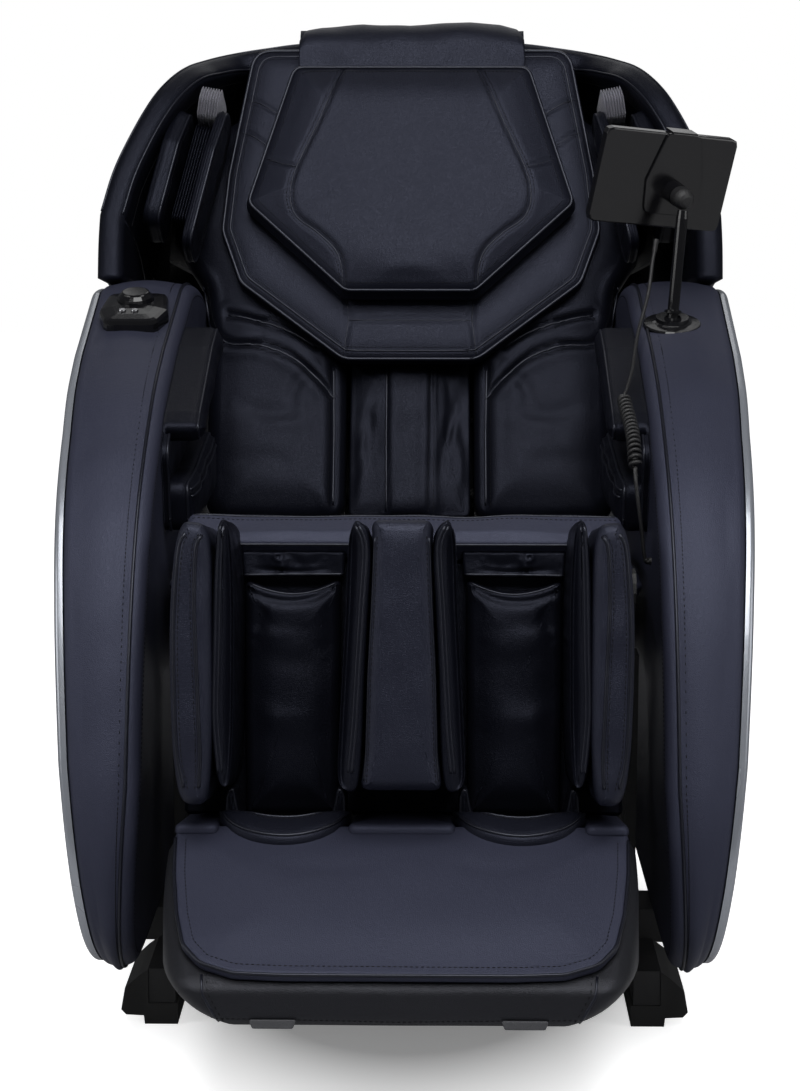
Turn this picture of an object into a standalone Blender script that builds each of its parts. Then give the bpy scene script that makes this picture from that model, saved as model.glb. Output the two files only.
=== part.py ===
"""Reclining massage chair: padded arms, moving back with its massage carriage, swinging leg rest.

Metres, +Z up, the sitter faces -Y. "left" and "right" are as seen from the front, right at +X.
"""
import math

import bmesh
import bpy
import numpy as np
from mathutils import Matrix, Vector

GAP = 0.0003            # space left between two pieces that touch

# Where the moving groups hang
DEPTH_SHIFT = 0.05654   # moves the whole chair so that its depth is centred on the origin
RECLINE_AXIS = (0.16, 0.40)     # (y, z) of the backrest hinge
BACK_LEAN = math.radians(28)    # backrest from vertical, as photographed
LEG_AXIS = (-0.345, 0.505)      # (y, z) of the leg rest hinge
LEG_LEAN = math.radians(12)
SEAT_CENTRE = (-0.088, 0.415)
SEAT_TILT = math.radians(-5)

# Arms
ARM_INSIDE = 0.274
ARM_ARC = 0.40          # radius of the arm's rear edge about the recline axis
ARM_LEVELS = (0.10, 0.22, 0.34, 0.505, 0.66, 0.80)
ARM_OUTSIDE = (0.320, 0.336, 0.350, 0.362, 0.375, 0.392)
ARM_SLOPE = math.atan2(0.060, 0.210)
SHELL_RIM = 0.010
SHELL_BULGE = 0.014

# Floor frame
RAIL_X = 0.273
RAIL_TOP = 0.065
PLATE_X = 0.2455        # middle of the seat side plates
PAN_FRONT = -0.2555
PAN_REAR = 0.025        # short of the lever's sweep
PIN = 0.008
PIN_BORE = 0.0084

# Backrest, in its own upright frame: x across, y to the rear, z up from the hinge
BOARD_FRONT = -0.035
CUSHION_DEPTH = 0.040
PAD_DEPTH = 0.024
SHELL_FRONT = 0.0545
GUIDE_Y = 0.038         # middle of the carriage slots in the rails
SHOULDER = (0.2835, 0.50)       # (x, z) of the air pads' middle; they lean in towards the head
SHOULDER_LEAN = math.radians(12)
OUTER_LEAF = 0.0335     # from the inner leaf's outer face to the fixed leaf

# Actuator
LEVER_PIN = (-0.03, -0.09)
ACTUATOR_FOOT = (0.34, 0.11)
EYE_CLEARANCE = 0.0048

# Leg rest, in its own upright frame
HOUSING_FRONT = -0.012
HOUSING_REAR = 0.026
BOLSTER_FRONT = -0.172
FOOT_TOP = -0.262
SLIDER_X = 0.205

# Tablet and its cord
POST = (0.319, -0.006)
KNUCKLE = (0.330, -0.006, 0.914)
CORD = 0.0022           # cord radius
CURL_RADIUS = 0.0062
CURL_TURNS = 18
CURL_SIDES = 8

LEATHER = ((0.018, 0.020, 0.030), 0.42, 0.0)
DARK = ((0.012, 0.012, 0.014), 0.5, 0.0)
GLOSS = ((0.008, 0.008, 0.010), 0.12, 0.0)
SILVER = ((0.42, 0.45, 0.50), 0.25, 0.6)
STEEL = ((0.05, 0.05, 0.055), 0.45, 0.8)
CHROME = ((0.6, 0.6, 0.62), 0.2, 1.0)
FABRIC = ((0.16, 0.16, 0.19), 0.9, 0.0)
RUBBER = ((0.02, 0.02, 0.02), 0.8, 0.0)


def clear_scene():
    for ob in list(bpy.data.objects):
        bpy.data.objects.remove(ob, do_unlink=True)


def collection(name):
    made = bpy.data.collections.new(name)
    bpy.context.scene.collection.children.link(made)
    return made


clear_scene()
PARTS = collection("massage_chair")
CUTTERS = collection("cutters")


# ---------------------------------------------------------------- helpers
def empty(name, parent, place):
    ob = bpy.data.objects.new(name, None)
    PARTS.objects.link(ob)
    ob.parent = parent
    ob.matrix_local = place
    return ob


def paint(ob, look):
    colour, rough, metal = look
    mat = bpy.data.materials.new(ob.name)
    mat.use_nodes = True
    shader = mat.node_tree.nodes["Principled BSDF"]
    shader.inputs["Base Color"].default_value = (*colour, 1)
    shader.inputs["Roughness"].default_value = rough
    shader.inputs["Metallic"].default_value = metal
    ob.data.materials.clear()
    ob.data.materials.append(mat)


def piece(name, bm, group, look, place=Matrix()):
    """Make an object from a bmesh whose points are in the group's frame after place."""
    bmesh.ops.transform(bm, matrix=place, verts=bm.verts)
    bmesh.ops.recalc_face_normals(bm, faces=bm.faces)
    mesh = bpy.data.meshes.new(name)
    bm.to_mesh(mesh)
    bm.free()
    ob = bpy.data.objects.new(name, mesh)
    PARTS.objects.link(ob)
    ob.parent = group
    paint(ob, look)
    mesh.shade_smooth()
    mesh.set_sharp_from_angle(angle=math.radians(35))
    return ob


def facing_front(y):
    """Outline a across, b up; depth grows towards the sitter from y."""
    return Matrix(((1, 0, 0, 0), (0, 0, -1, y), (0, 1, 0, 0), (0, 0, 0, 1)))


def facing_rear(y):
    return Matrix(((-1, 0, 0, 0), (0, 0, 1, y), (0, 1, 0, 0), (0, 0, 0, 1)))


def facing_right(x):
    """Outline a to the rear, b up; depth grows towards +X from x."""
    return Matrix(((0, 0, 1, x), (1, 0, 0, 0), (0, 1, 0, 0), (0, 0, 0, 1)))


def facing_left(x):
    return Matrix(((0, 0, -1, x), (-1, 0, 0, 0), (0, 1, 0, 0), (0, 0, 0, 1)))


def facing_up(x, y, z):
    return Matrix.Translation((x, y, z))


def rounded(corners, radius, steps=2):
    """Replace each corner of an outline by an arc of about the radius."""
    points = []
    count = len(corners)
    for i in range(count):
        here = np.array(corners[i], float)
        before = np.array(corners[i - 1], float) - here
        after = np.array(corners[(i + 1) % count], float) - here
        a, b = before / np.linalg.norm(before), after / np.linalg.norm(after)
        half = math.acos(max(-1.0, min(1.0, float(a @ b)))) / 2
        reach = min(radius / math.tan(half), 0.45 * np.linalg.norm(before), 0.45 * np.linalg.norm(after))
        for k in range(steps + 1):
            t = k / steps
            points.append(tuple((1 - t) ** 2 * (here + a * reach) + 2 * t * (1 - t) * here
                                + t ** 2 * (here + b * reach)))
    return points


def mirrored_outline(half):
    """Close an outline given on its right half, bottom to top."""
    return list(half) + [(-a, b) for a, b in reversed(half)]


def flow(points, steps):
    """Smooth curve through the points (Catmull-Rom)."""
    pts = [np.array(p, float) for p in points]
    pts = [2 * pts[0] - pts[1]] + pts + [2 * pts[-1] - pts[-2]]
    out = []
    for i in range(1, len(pts) - 2):
        p0, p1, p2, p3 = pts[i - 1:i + 3]
        for k in range(steps):
            t = k / steps
            out.append(0.5 * (2 * p1 + (p2 - p0) * t + (2 * p0 - 5 * p1 + 4 * p2 - p3) * t ** 2
                              + (3 * p1 - p0 - 3 * p2 + p3) * t ** 3))
    out.append(pts[-2])
    return out


def inset(outline, distance):
    """Move each point of a counter-clockwise outline inwards."""
    pts = [np.array(p, float) for p in outline]
    out = []
    for i, here in enumerate(pts):
        a = here - pts[i - 1]
        b = pts[(i + 1) % len(pts)] - here
        n = np.array((-a[1], a[0])) / np.linalg.norm(a) + np.array((-b[1], b[0])) / np.linalg.norm(b)
        out.append(tuple(here + n * distance * 2 / max(float(n @ n), 0.5)))
    return out


def slab(outline, depth, front_edge=0.0, rear_edge=0.0, steps=2):
    """Extrude an outline and round the rims of its front (depth) and rear (0) faces."""
    bm = bmesh.new()
    base = bm.faces.new([bm.verts.new((a, b, 0.0)) for a, b in outline])
    made = bmesh.ops.extrude_face_region(bm, geom=[base])
    top = [g for g in made["geom"] if isinstance(g, bmesh.types.BMVert)]
    bmesh.ops.translate(bm, verts=top, vec=(0, 0, depth))
    bmesh.ops.recalc_face_normals(bm, faces=bm.faces)
    for height, width, cuts in ((depth, front_edge, steps), (0.0, rear_edge, 1)):
        rim = [e for e in bm.edges if all(abs(v.co.z - height) < 1e-7 for v in e.verts)]
        if width:
            bmesh.ops.bevel(bm, geom=rim, offset=width, segments=cuts, profile=0.5, affect="EDGES")
    return bm


def raise_crown(bm, depth, crown, scales=(0.72, 0.36)):
    """Swell the front face in steps drawn towards its middle."""
    top = max((f for f in bm.faces if abs(f.calc_center_median().z - depth) < 1e-6),
              key=lambda f: f.calc_area())
    centre = top.calc_center_median()
    last = 1.0
    for scale in scales:
        bmesh.ops.inset_individual(bm, faces=[top], thickness=0.0)
        for v in top.verts:
            flat = centre + (v.co - centre) * (scale / last)
            v.co = (flat.x, flat.y, depth + crown * (1 - scale ** 2))
        last = scale


def cushion(name, outline, depth, crown, edge, group, place, look=LEATHER, rear_edge=0.003, steps=2):
    bm = slab(outline, depth, edge, rear_edge, steps)
    if crown:
        raise_crown(bm, depth, crown)
    return piece(name, bm, group, look, place)


def box(name, size, centre, group, look, edge=0.0, turn=None):
    bm = bmesh.new()
    bmesh.ops.create_cube(bm, size=1.0)
    bmesh.ops.scale(bm, vec=size, verts=bm.verts)
    if edge:
        bmesh.ops.bevel(bm, geom=list(bm.edges), offset=edge, segments=1, affect="EDGES")
    place = Matrix.Translation(centre) @ (turn or Matrix())
    return piece(name, bm, group, look, place)


def cylinder(name, radius, length, centre, axis, group, look, sides=24, end_radius=None, edge=0.0):
    """Cylinder or cone frustum centred on a point, along a direction."""
    bm = bmesh.new()
    bmesh.ops.create_cone(bm, cap_ends=True, segments=sides, radius1=radius,
                          radius2=radius if end_radius is None else end_radius, depth=length)
    if edge:
        rims = [e for e in bm.edges if abs(e.verts[0].co.z - e.verts[1].co.z) < 1e-7]
        bmesh.ops.bevel(bm, geom=rims, offset=edge, segments=2, profile=0.5, affect="EDGES")
    turn = Vector((0, 0, 1)).rotation_difference(Vector(axis)).to_matrix().to_4x4()
    return piece(name, bm, group, look, Matrix.Translation(centre) @ turn)


def as_cutter(ob):
    ob.hide_render = True
    ob.display_type = "WIRE"
    PARTS.objects.unlink(ob)
    CUTTERS.objects.link(ob)
    return ob


def combine(target, tool, operation):
    mod = target.modifiers.new(tool.name, "BOOLEAN")
    mod.operation = operation
    mod.solver = "EXACT"
    mod.object = as_cutter(tool)


def cut(target, *tools):
    for tool in tools:
        combine(target, tool, "DIFFERENCE")


def join(target, *tools):
    for tool in tools:
        combine(target, tool, "UNION")


def settle(ob):
    """Apply the modifiers so that a mirrored copy can be taken."""
    bpy.context.view_layer.update()
    seen = ob.evaluated_get(bpy.context.evaluated_depsgraph_get())
    mesh = bpy.data.meshes.new_from_object(seen)
    ob.modifiers.clear()
    ob.data = mesh


def other_side(ob):
    """Copy a right-hand piece to the left."""
    if ob.modifiers:
        settle(ob)
    bm = bmesh.new()
    bm.from_mesh(ob.data)
    bmesh.ops.scale(bm, vec=(-1, 1, 1), verts=bm.verts)
    bmesh.ops.reverse_faces(bm, faces=bm.faces)
    mesh = bpy.data.meshes.new(ob.name)
    bm.to_mesh(mesh)
    bm.free()
    twin = bpy.data.objects.new(ob.name.replace("_right", "_left"), mesh)
    PARTS.objects.link(twin)
    twin.parent = ob.parent
    source = ob.data.materials[0].node_tree.nodes["Principled BSDF"].inputs
    paint(twin, (tuple(source["Base Color"].default_value)[:3], source["Roughness"].default_value,
                 source["Metallic"].default_value))
    return twin


def dish(name, outline, depth, edge, bulge, wall, group, place, look, scales=(0.65,), steps=1):
    """Hollow cover: an open domed surface thickened inwards."""
    bm = slab(outline, depth, front_edge=edge, steps=steps)
    raise_crown(bm, depth, bulge, scales)
    floor = [f for f in bm.faces if all(abs(v.co.z) < 1e-7 for v in f.verts)]
    bmesh.ops.delete(bm, geom=floor, context="FACES")
    ob = piece(name, bm, group, look, place)
    mod = ob.modifiers.new("wall", "SOLIDIFY")
    mod.thickness = wall
    mod.offset = -1
    return ob


def tube(name, points, radius, group, look, resolution=2):
    curve = bpy.data.curves.new(name, "CURVE")
    curve.dimensions = "3D"
    curve.bevel_depth = radius
    curve.bevel_resolution = resolution
    curve.use_fill_caps = True
    spline = curve.splines.new("POLY")
    spline.points.add(len(points) - 1)
    for point, place in zip(spline.points, points):
        point.co = (*place, 1)
    ob = bpy.data.objects.new(name, curve)
    PARTS.objects.link(ob)
    ob.parent = group
    weld = ob.modifiers.new("caps", "WELD")
    weld.merge_threshold = 0.00005
    paint(ob, look)
    return ob


def turned(name, profile, centre, axis, group, look, steps=24, ring=False):
    """Screw a profile of (radius, height) points, given from its top down to its foot."""
    mesh = bpy.data.meshes.new(name)
    points = [(r, 0, h) for r, h in profile]
    edges = [(i, i + 1) for i in range(len(points) - 1)] + ([(len(points) - 1, 0)] if ring else [])
    mesh.from_pydata(points, edges, [])
    ob = bpy.data.objects.new(name, mesh)
    PARTS.objects.link(ob)
    ob.parent = group
    turn = Vector((0, 0, 1)).rotation_difference(Vector(axis)).to_matrix().to_4x4()
    ob.matrix_local = Matrix.Translation(centre) @ turn
    screw = ob.modifiers.new("turn", "SCREW")
    screw.steps = steps
    screw.render_steps = steps
    screw.use_merge_vertices = True
    screw.merge_threshold = 0.00005
    paint(ob, look)
    return ob


# ---------------------------------------------------------------- groups
CHAIR = empty("chair", None, Matrix.Translation((0, DEPTH_SHIFT, 0)))
BACK = empty("recline_axis", CHAIR,
             Matrix.Translation((0, *RECLINE_AXIS)) @ Matrix.Rotation(-BACK_LEAN, 4, "X"))
LEGS = empty("leg_axis", CHAIR, Matrix.Translation((0, *LEG_AXIS)) @ Matrix.Rotation(-LEG_LEAN, 4, "X"))
SEAT = empty("seat_frame_origin", CHAIR,
             Matrix.Translation((0, *SEAT_CENTRE)) @ Matrix.Rotation(SEAT_TILT, 4, "X"))


def arc(centre, radius, start, end, steps):
    """Points of (a, b) on a circle, degrees from the a axis."""
    out = []
    for k in range(steps + 1):
        angle = math.radians(start + (end - start) * k / steps)
        out.append((centre[0] + radius * math.cos(angle), centre[1] + radius * math.sin(angle)))
    return out


# ---------------------------------------------------------------- arms
def arm_outline():
    """Side outline in (y, z), counter-clockwise: rear arc, sloping top, bowed front, foot."""
    rear = arc(RECLINE_AXIS, ARM_ARC, -34, 95.7, 9)
    front = flow([(-0.09, 0.738), (-0.20, 0.692), (-0.335, 0.600), (-0.42, 0.490), (-0.487, 0.330),
                  (-0.507, 0.235), (-0.495, 0.155), (-0.445, 0.110), (-0.38, 0.100)], 2)
    return rear + [tuple(p) for p in front] + [(0.37, 0.100), (0.44, 0.128)]


def lean_arm(bm, share):
    """Shift points sideways with height; share grows from the inner to the outer face."""
    for level in ARM_LEVELS[1:-1]:
        geom = list(bm.verts) + list(bm.edges) + list(bm.faces)
        bmesh.ops.bisect_plane(bm, geom=geom, plane_co=(0, 0, level), plane_no=(0, 0, 1), dist=1e-6)
    for v in bm.verts:
        outer = float(np.interp(v.co.z, ARM_LEVELS, ARM_OUTSIDE))
        inner = ARM_INSIDE + float(np.interp(v.co.z, (0.10, 0.32), (0.012, 0.0)))
        side = min(1.0, max(0.0, share(v.co.x)))
        v.co.x += side * (outer - ARM_OUTSIDE[-1]) + (1 - side) * (inner - ARM_INSIDE)


def arm_band():
    width = ARM_OUTSIDE[-1] - ARM_INSIDE
    bm = slab(arm_outline(), width, front_edge=0.010, rear_edge=0.014)
    bmesh.ops.transform(bm, matrix=facing_right(ARM_INSIDE), verts=bm.verts)
    middle = ARM_INSIDE + width / 2
    lean_arm(bm, lambda x: 1.0 if x > middle else 0.0)
    band = piece("arm_band_right", bm, CHAIR, LEATHER)
    other_side(band)


def arm_shell():
    outline = inset(arm_outline(), 0.005)
    place = facing_right(ARM_OUTSIDE[-1] + GAP)
    bm = slab(outline, SHELL_RIM, front_edge=0.006, steps=1)
    raise_crown(bm, SHELL_RIM, SHELL_BULGE, (0.70,))
    floor = [f for f in bm.faces if all(abs(v.co.z) < 1e-7 for v in f.verts)]
    bmesh.ops.delete(bm, geom=floor, context="FACES")
    bmesh.ops.transform(bm, matrix=place, verts=bm.verts)
    lean_arm(bm, lambda x: 1.0)
    shell = piece("arm_shell_right", bm, CHAIR, SILVER)
    wall = shell.modifiers.new("wall", "SOLIDIFY")
    wall.thickness = 0.004
    wall.offset = -1
    other_side(shell)


def arm_pad():
    """Forearm unit on the inner face: lining, rest along the top, slot and lower air pad."""
    lining = [(-0.225, 0.545), (0.045, 0.545), (0.050, 0.632), (0.045, 0.735), (0.030, 0.752),
              (-0.045, 0.732),
              (-0.200, 0.670), (-0.246, 0.640), (-0.235, 0.604)]
    rest = [(-0.252, 0.622), (-0.195, 0.642), (-0.040, 0.704), (0.042, 0.722), (0.032, 0.760),
            (-0.045, 0.740),
            (-0.200, 0.678), (-0.264, 0.650)]
    lower = [(-0.222, 0.545), (0.045, 0.545), (0.050, 0.632), (-0.130, 0.608), (-0.236, 0.604)]
    place = facing_left(ARM_INSIDE - GAP)

    def layer(name, corners, radius, depth, crown, edge):
        outline = rounded([(-a, b) for a, b in reversed(corners)], radius, 1)
        return cushion(name, outline, depth, crown, edge, CHAIR, place, rear_edge=0.0, steps=1)
    pad = layer("arm_pad_right", lining, 0.02, 0.007, 0.0, 0.002)
    join(pad, layer("rest", rest, 0.012, 0.042, 0.005, 0.012),
         layer("lower", lower, 0.02, 0.030, 0.006, 0.012))
    other_side(pad)


# ---------------------------------------------------------------- floor frame and seat
def side_plate():
    """Seat side plate from the leg hinge to the recline hinge, carrying both pins."""
    top = [(0.188, 0.41), (0.168, 0.428), (0.15, 0.43), (0.0, 0.428), (-0.25, 0.455), (-0.315, 0.521)]
    nose = arc(LEG_AXIS, 0.022, 60, 215, 5)
    under = [(-0.31, 0.43), (-0.20, 0.375), (0.145, 0.365), (0.188, 0.385)]
    outline = top + nose + under
    bm = slab(outline, 0.010)
    return piece("side_plate", bm, CHAIR, STEEL, facing_right(PLATE_X - 0.005))


def seat_pan():
    """Sheet under the seat cushion, on the cushion's tilt."""
    middle = (PAN_FRONT + PAN_REAR) / 2
    height = 0.411 + (middle - SEAT_CENTRE[0]) * math.tan(SEAT_TILT)
    return box("pan", (0.484, PAN_REAR - PAN_FRONT, 0.008), (0, middle, height), CHAIR, STEEL,
               turn=Matrix.Rotation(SEAT_TILT, 4, "X"))


def base_frame():
    frame = box("base_frame", (2 * RAIL_X, 0.05, 0.036), (0, 0.36, 0.045), CHAIR, STEEL)
    pieces = [box("front_cross", (2 * RAIL_X, 0.04, 0.034), (0, -0.24, 0.045), CHAIR, STEEL),
              box("middle_cross", (2 * RAIL_X, 0.04, 0.034), (0, 0.03, 0.045), CHAIR, STEEL),
              seat_pan()]
    for side in (-1, 1):
        x = side * RAIL_X
        pieces += [
            box("rail", (0.030, 0.798, 0.040), (x, 0.066, RAIL_TOP - 0.020), CHAIR, STEEL),
            box("front_mount", (0.055, 0.07, 0.0397), (side * 0.290, -0.187, 0.07985), CHAIR, STEEL),
            box("rear_mount", (0.055, 0.07, 0.0397), (side * 0.290, 0.24, 0.07985), CHAIR, STEEL),
            box("rear_foot", (0.034, 0.05, 0.030), (x, 0.37, 0.015), CHAIR, STEEL),
            box("front_post", (0.0125, 0.036, 0.36), (side * 0.2565, -0.255, 0.235), CHAIR, STEEL),
            box("rear_post", (0.0125, 0.036, 0.34), (side * 0.2565, 0.125, 0.225), CHAIR, STEEL),
            box("lug", (0.010, 0.036, 0.085), (side * 0.026, ACTUATOR_FOOT[0], 0.0935), CHAIR, STEEL)]
        plate = side_plate()
        if side < 0:
            bm = bmesh.new()
            bm.from_mesh(plate.data)
            bmesh.ops.scale(bm, vec=(-1, 1, 1), verts=bm.verts)
            bmesh.ops.reverse_faces(bm, faces=bm.faces)
            bm.to_mesh(plate.data)
            bm.free()
        pieces.append(plate)
        for y, z in (RECLINE_AXIS, LEG_AXIS):
            pieces.append(cylinder("pin", PIN, 0.026, (side * 0.2355, y, z), (1, 0, 0), CHAIR, STEEL, 16))
    pieces.append(cylinder("actuator_pin", 0.006, 0.052, (0, *ACTUATOR_FOOT), (1, 0, 0), CHAIR, STEEL, 16))
    join(frame, *pieces)
    axle = [cylinder("axle_bore", 0.0056, 0.022, (side * 0.264, 0.435, 0.037), (1, 0, 0), CHAIR, STEEL, 16)
            for side in (-1, 1)]
    cut(frame, *axle)


def feet_and_wheels():
    """Front feet flared outwards under the arms, and the transport wheels on their axle."""
    corners = [(0.2555, 0.0), (0.293, 0.0), (0.294, 0.010), (0.314, 0.011), (0.3195, 0.017), (0.3150, 0.042),
               (0.3000, 0.0560), (0.2885, 0.0645), (0.2885, 0.0245), (0.2555, 0.0245)]
    place = Matrix(((1, 0, 0, 0), (0, 0, 1, -0.334), (0, 1, 0, 0), (0, 0, 0, 1)))
    bm = slab(corners, 0.11)
    foot = piece("front_foot_right", bm, CHAIR, RUBBER, place)
    other_side(foot)
    profile = [(0.0, 0.271), (0.005, 0.271), (0.005, 0.250), (0.024, 0.250), (0.028, 0.246), (0.028, 0.230),
               (0.024, 0.226), (0.005, 0.226)]
    full = profile + [(r, -h) for r, h in reversed(profile)]
    turned("rear_wheels", full, (0, 0.435, 0.037), (1, 0, 0), CHAIR, RUBBER, 16)


def inner_units():
    box("power_box", (0.17, 0.20, 0.085), (-0.145, 0.215, 0.1065), CHAIR, DARK, edge=0.006)
    inlet = box("mains_inlet", (0.048, 0.022, 0.028), (-0.145, 0.3265, 0.1065), CHAIR, GLOSS, edge=0.002)
    cut(inlet, box("socket", (0.036, 0.016, 0.017), (-0.145, 0.3305, 0.1065), CHAIR, GLOSS))
    pump = box("air_pump", (0.13, 0.15, 0.11), (0.135, 0.21, 0.119), CHAIR, DARK, edge=0.008)
    join(pump, cylinder("outlet", 0.008, 0.03, (0.135, 0.12, 0.14), (0, 1, 0), CHAIR, DARK, 16))


def seat_cushion():
    """Upper tier over the side plates, lower tier sunk between them and cut out for the recline lever."""
    front = -0.178
    wide = rounded([(-0.266, front), (0.266, front), (0.266, 0.200), (-0.266, 0.200)], 0.035)
    seat = cushion("seat_cushion", wide, 0.034, 0.012, 0.016, SEAT, facing_up(0, 0, 0.046), rear_edge=0.006)
    join(seat, box("lower_tier", (0.464, 0.348, 0.0515), (0, 0.002, 0.02625), SEAT, LEATHER, edge=0.004))
    cut(seat, box("lever_room", (0.064, 0.100, 0.040), (0, 0.155, 0.018), SEAT, LEATHER))


# ---------------------------------------------------------------- controls on the left arm
def dial():
    """Jog dial unit on the sloping top of the left arm."""
    slope = Matrix.Translation((-0.333, 0.013, 0.7675)) @ Matrix.Rotation(ARM_SLOPE, 4, "X")
    group = empty("dial_axis", CHAIR, slope)
    plan = rounded([(-0.030, -0.052), (0.030, -0.052), (0.042, -0.010), (0.036, 0.050), (-0.036, 0.050),
                    (-0.042, -0.010)], 0.014)
    base = cushion("dial_base", plan, 0.018, 0.004, 0.006, group, Matrix.Translation((0, 0, GAP)), GLOSS,
                   0.001)
    well = cylinder("knob_well", 0.0225, 0.02, (0, 0.014, 0.0245), (0, 0, 1), group, GLOSS, 24)
    cut(base, well)
    for name, x in (("left", -0.0115), ("right", 0.0035)):
        cut(base, cylinder("button_well", 0.0048, 0.02, (x, -0.026, 0.024), (0, 0, 1), group, GLOSS, 16))
        cylinder("dial_button_" + name, 0.0043, 0.0075, (x, -0.026, 0.0195), (0, 0, 1), group, GLOSS, 16,
                 edge=0.0008)
    grip = [(0.0, 0.0170), (0.0150, 0.0170), (0.0165, 0.0165), (0.0172, 0.0150), (0.0190, 0.0130),
            (0.0210, 0.0110), (0.0218, 0.0060), (0.0218, 0.0), (0.0, 0.0)]
    turned("dial_knob", grip, (0, 0.014, 0.0148), (0, 0, 1), group, GLOSS, 24)


# ---------------------------------------------------------------- tablet on the right arm
def tablet():
    slope_z = 0.738 + (POST[1] + 0.09) * math.tan(ARM_SLOPE)
    place = Matrix.Translation((*POST, slope_z)) @ Matrix.Rotation(ARM_SLOPE, 4, "X")
    arm_top = empty("post_foot", CHAIR, place)
    flange = [(0.0, 0.012), (0.020, 0.012), (0.0205, 0.0075), (0.024, 0.006), (0.034, 0.005),
              (0.0355, 0.003),
              (0.0355, GAP), (0.0, GAP)]
    ring = turned("post_flange", flange, (0, 0, 0), (0, 0, 1), arm_top, GLOSS, 20)
    start = place @ Vector((0, 0, 0.0065))
    reach = Vector(KNUCKLE) - start
    top = reach.length - 0.0135
    shape = [(0.0, top), (0.0060, top), (0.0070, top - 0.010), (0.0070, 0.014), (0.0105, 0.013),
             (0.0105, 0.010),
             (0.0070, 0.009), (0.0070, 0.0), (0.0, 0.0)]
    turned("tablet_post", shape, start, reach, CHAIR, GLOSS, 16)
    bore = cylinder("post_bore", 0.0076, 0.030, start + reach.normalized() * 0.0145, reach, CHAIR, GLOSS, 20)
    bush = cylinder("collar_bore", 0.0120, 0.030, start + reach.normalized() * 0.0235, reach, CHAIR, GLOSS,
                    20)
    cut(ring, bore, bush)


def tablet_group():
    """Frame of the tilted tablet: x along its width, y up its face, z out of its back."""
    width = Vector((0.9245, 0.372, -0.092)).normalized()
    out = Vector((0.3356, -0.902, -0.2744)).normalized()
    up = out.cross(width).normalized()
    turn = Matrix((width, up, out)).transposed().to_4x4()
    return empty("tablet_tilt", CHAIR, Matrix.Translation(KNUCKLE) @ turn)


def tablet_head():
    group = tablet_group()
    middle = (-0.013, 0.011)
    body = rounded([(-0.088, -0.058), (0.088, -0.058), (0.088, 0.058), (-0.088, 0.058)], 0.008)
    body = [(a + middle[0], b + middle[1]) for a, b in body]
    cushion("tablet", body, 0.0135, 0.0, 0.002, group, facing_up(0, 0, -0.0485), GLOSS, 0.002)
    plate = rounded([(-0.032, -0.030), (0.032, -0.030), (0.038, 0.010), (0.022, 0.0705), (-0.022, 0.0705),
                     (-0.038, 0.010)], 0.008)
    bracket = cushion("tablet_bracket", plate, 0.0035, 0.0, 0.001, group, facing_up(0, 0, -0.0347), GLOSS,
                      0.0)
    hook = box("hook", (0.034, 0.0025, 0.020), (0, 0.0706, -0.0425), group, GLOSS)
    join(bracket, hook, cylinder("neck", 0.0135, 0.020, (0, 0, -0.0217), (0, 0, 1), group, GLOSS, 24))
    ball = [(0.0, 0.0105), (0.0050, 0.0100), (0.0090, 0.0080), (0.0118, 0.0040), (0.0130, 0.0),
            (0.0130, -0.0112),
            (0.0, -0.0112)]
    turned("tablet_knuckle", ball, (0, 0, 0), (0, 0, 1), group, GLOSS, 20)


# ---------------------------------------------------------------- backrest
def back_frame():
    """Rails, cushion boards, hinge plates and the actuator lever, in one welded frame."""
    board = [(0.088, 0.060), (0.245, 0.060), (0.252, 0.090), (0.256, 0.42), (0.328, 0.46), (0.322, 0.56),
             (0.270, 0.640), (0.20, 0.700), (0.088, 0.705)]
    frame = piece("back_frame", slab(board, 0.010), BACK, STEEL, facing_front(BOARD_FRONT + 0.010))
    left = piece("left_board", slab([(-a, b) for a, b in reversed(board)], 0.010), BACK, STEEL,
                 facing_front(BOARD_FRONT + 0.010))
    pieces = [left,
              box("top_cross", (0.42, 0.022, 0.030), (0, -0.018, 0.698), BACK, STEEL),
              box("low_cross", (0.460, 0.030, 0.022), (0, 0.012, 0.049), BACK, STEEL)]
    slots = []
    for side in (-1, 1):
        pieces += [box("rail", (0.026, 0.0797, 0.680), (side * 0.0985, 0.0137, 0.370), BACK, STEEL),
                   box("hinge_plate", (0.010, 0.060, 0.130), (side * 0.2340, 0.0, 0.030), BACK, STEEL),
                   box("lever", (0.008, 0.030, 0.150), (side * 0.0165, LEVER_PIN[0] + 0.012, -0.034), BACK,
                       STEEL)]
        slots += [box("slot", (0.020, 0.017, 0.580), (side * 0.0945, GUIDE_Y, 0.370), BACK, STEEL),
                  cylinder("bore", PIN_BORE, 0.030, (side * 0.2340, 0, 0), (1, 0, 0), BACK, STEEL, 16)]
    pieces += [box("lever_top", (0.041, 0.044, 0.020), (0, -0.005, 0.040), BACK, STEEL),
               cylinder("lever_pin", 0.006, 0.041, (0, *LEVER_PIN), (1, 0, 0), BACK, STEEL, 16)]
    join(frame, *pieces)
    cut(frame, *slots)


def back_covers():
    half = [(0.0, 0.075), (0.200, 0.075), (0.245, 0.095), (0.258, 0.13), (0.258, 0.400), (0.300, 0.428),
            (0.366, 0.462), (0.362, 0.550), (0.332, 0.632), (0.275, 0.700), (0.200, 0.738), (0.0, 0.750)]
    outline = rounded([half[0]] + half[1:-1] + [half[-1]] + [(-a, b) for a, b in reversed(half[1:-1])], 0.02,
                      1)
    turned_outline = [(-a, b) for a, b in reversed(outline)]
    dish("back_shell", turned_outline, 0.052, 0.018, 0.022, 0.005, BACK, facing_rear(SHELL_FRONT), DARK)
    wings()


def shoulder_place():
    x, z = SHOULDER
    turn = Matrix.Rotation(-SHOULDER_LEAN, 4, "Y")
    return Matrix.Translation((x, 0, z)) @ turn @ Matrix.Translation((0, 0, -z))


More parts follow.
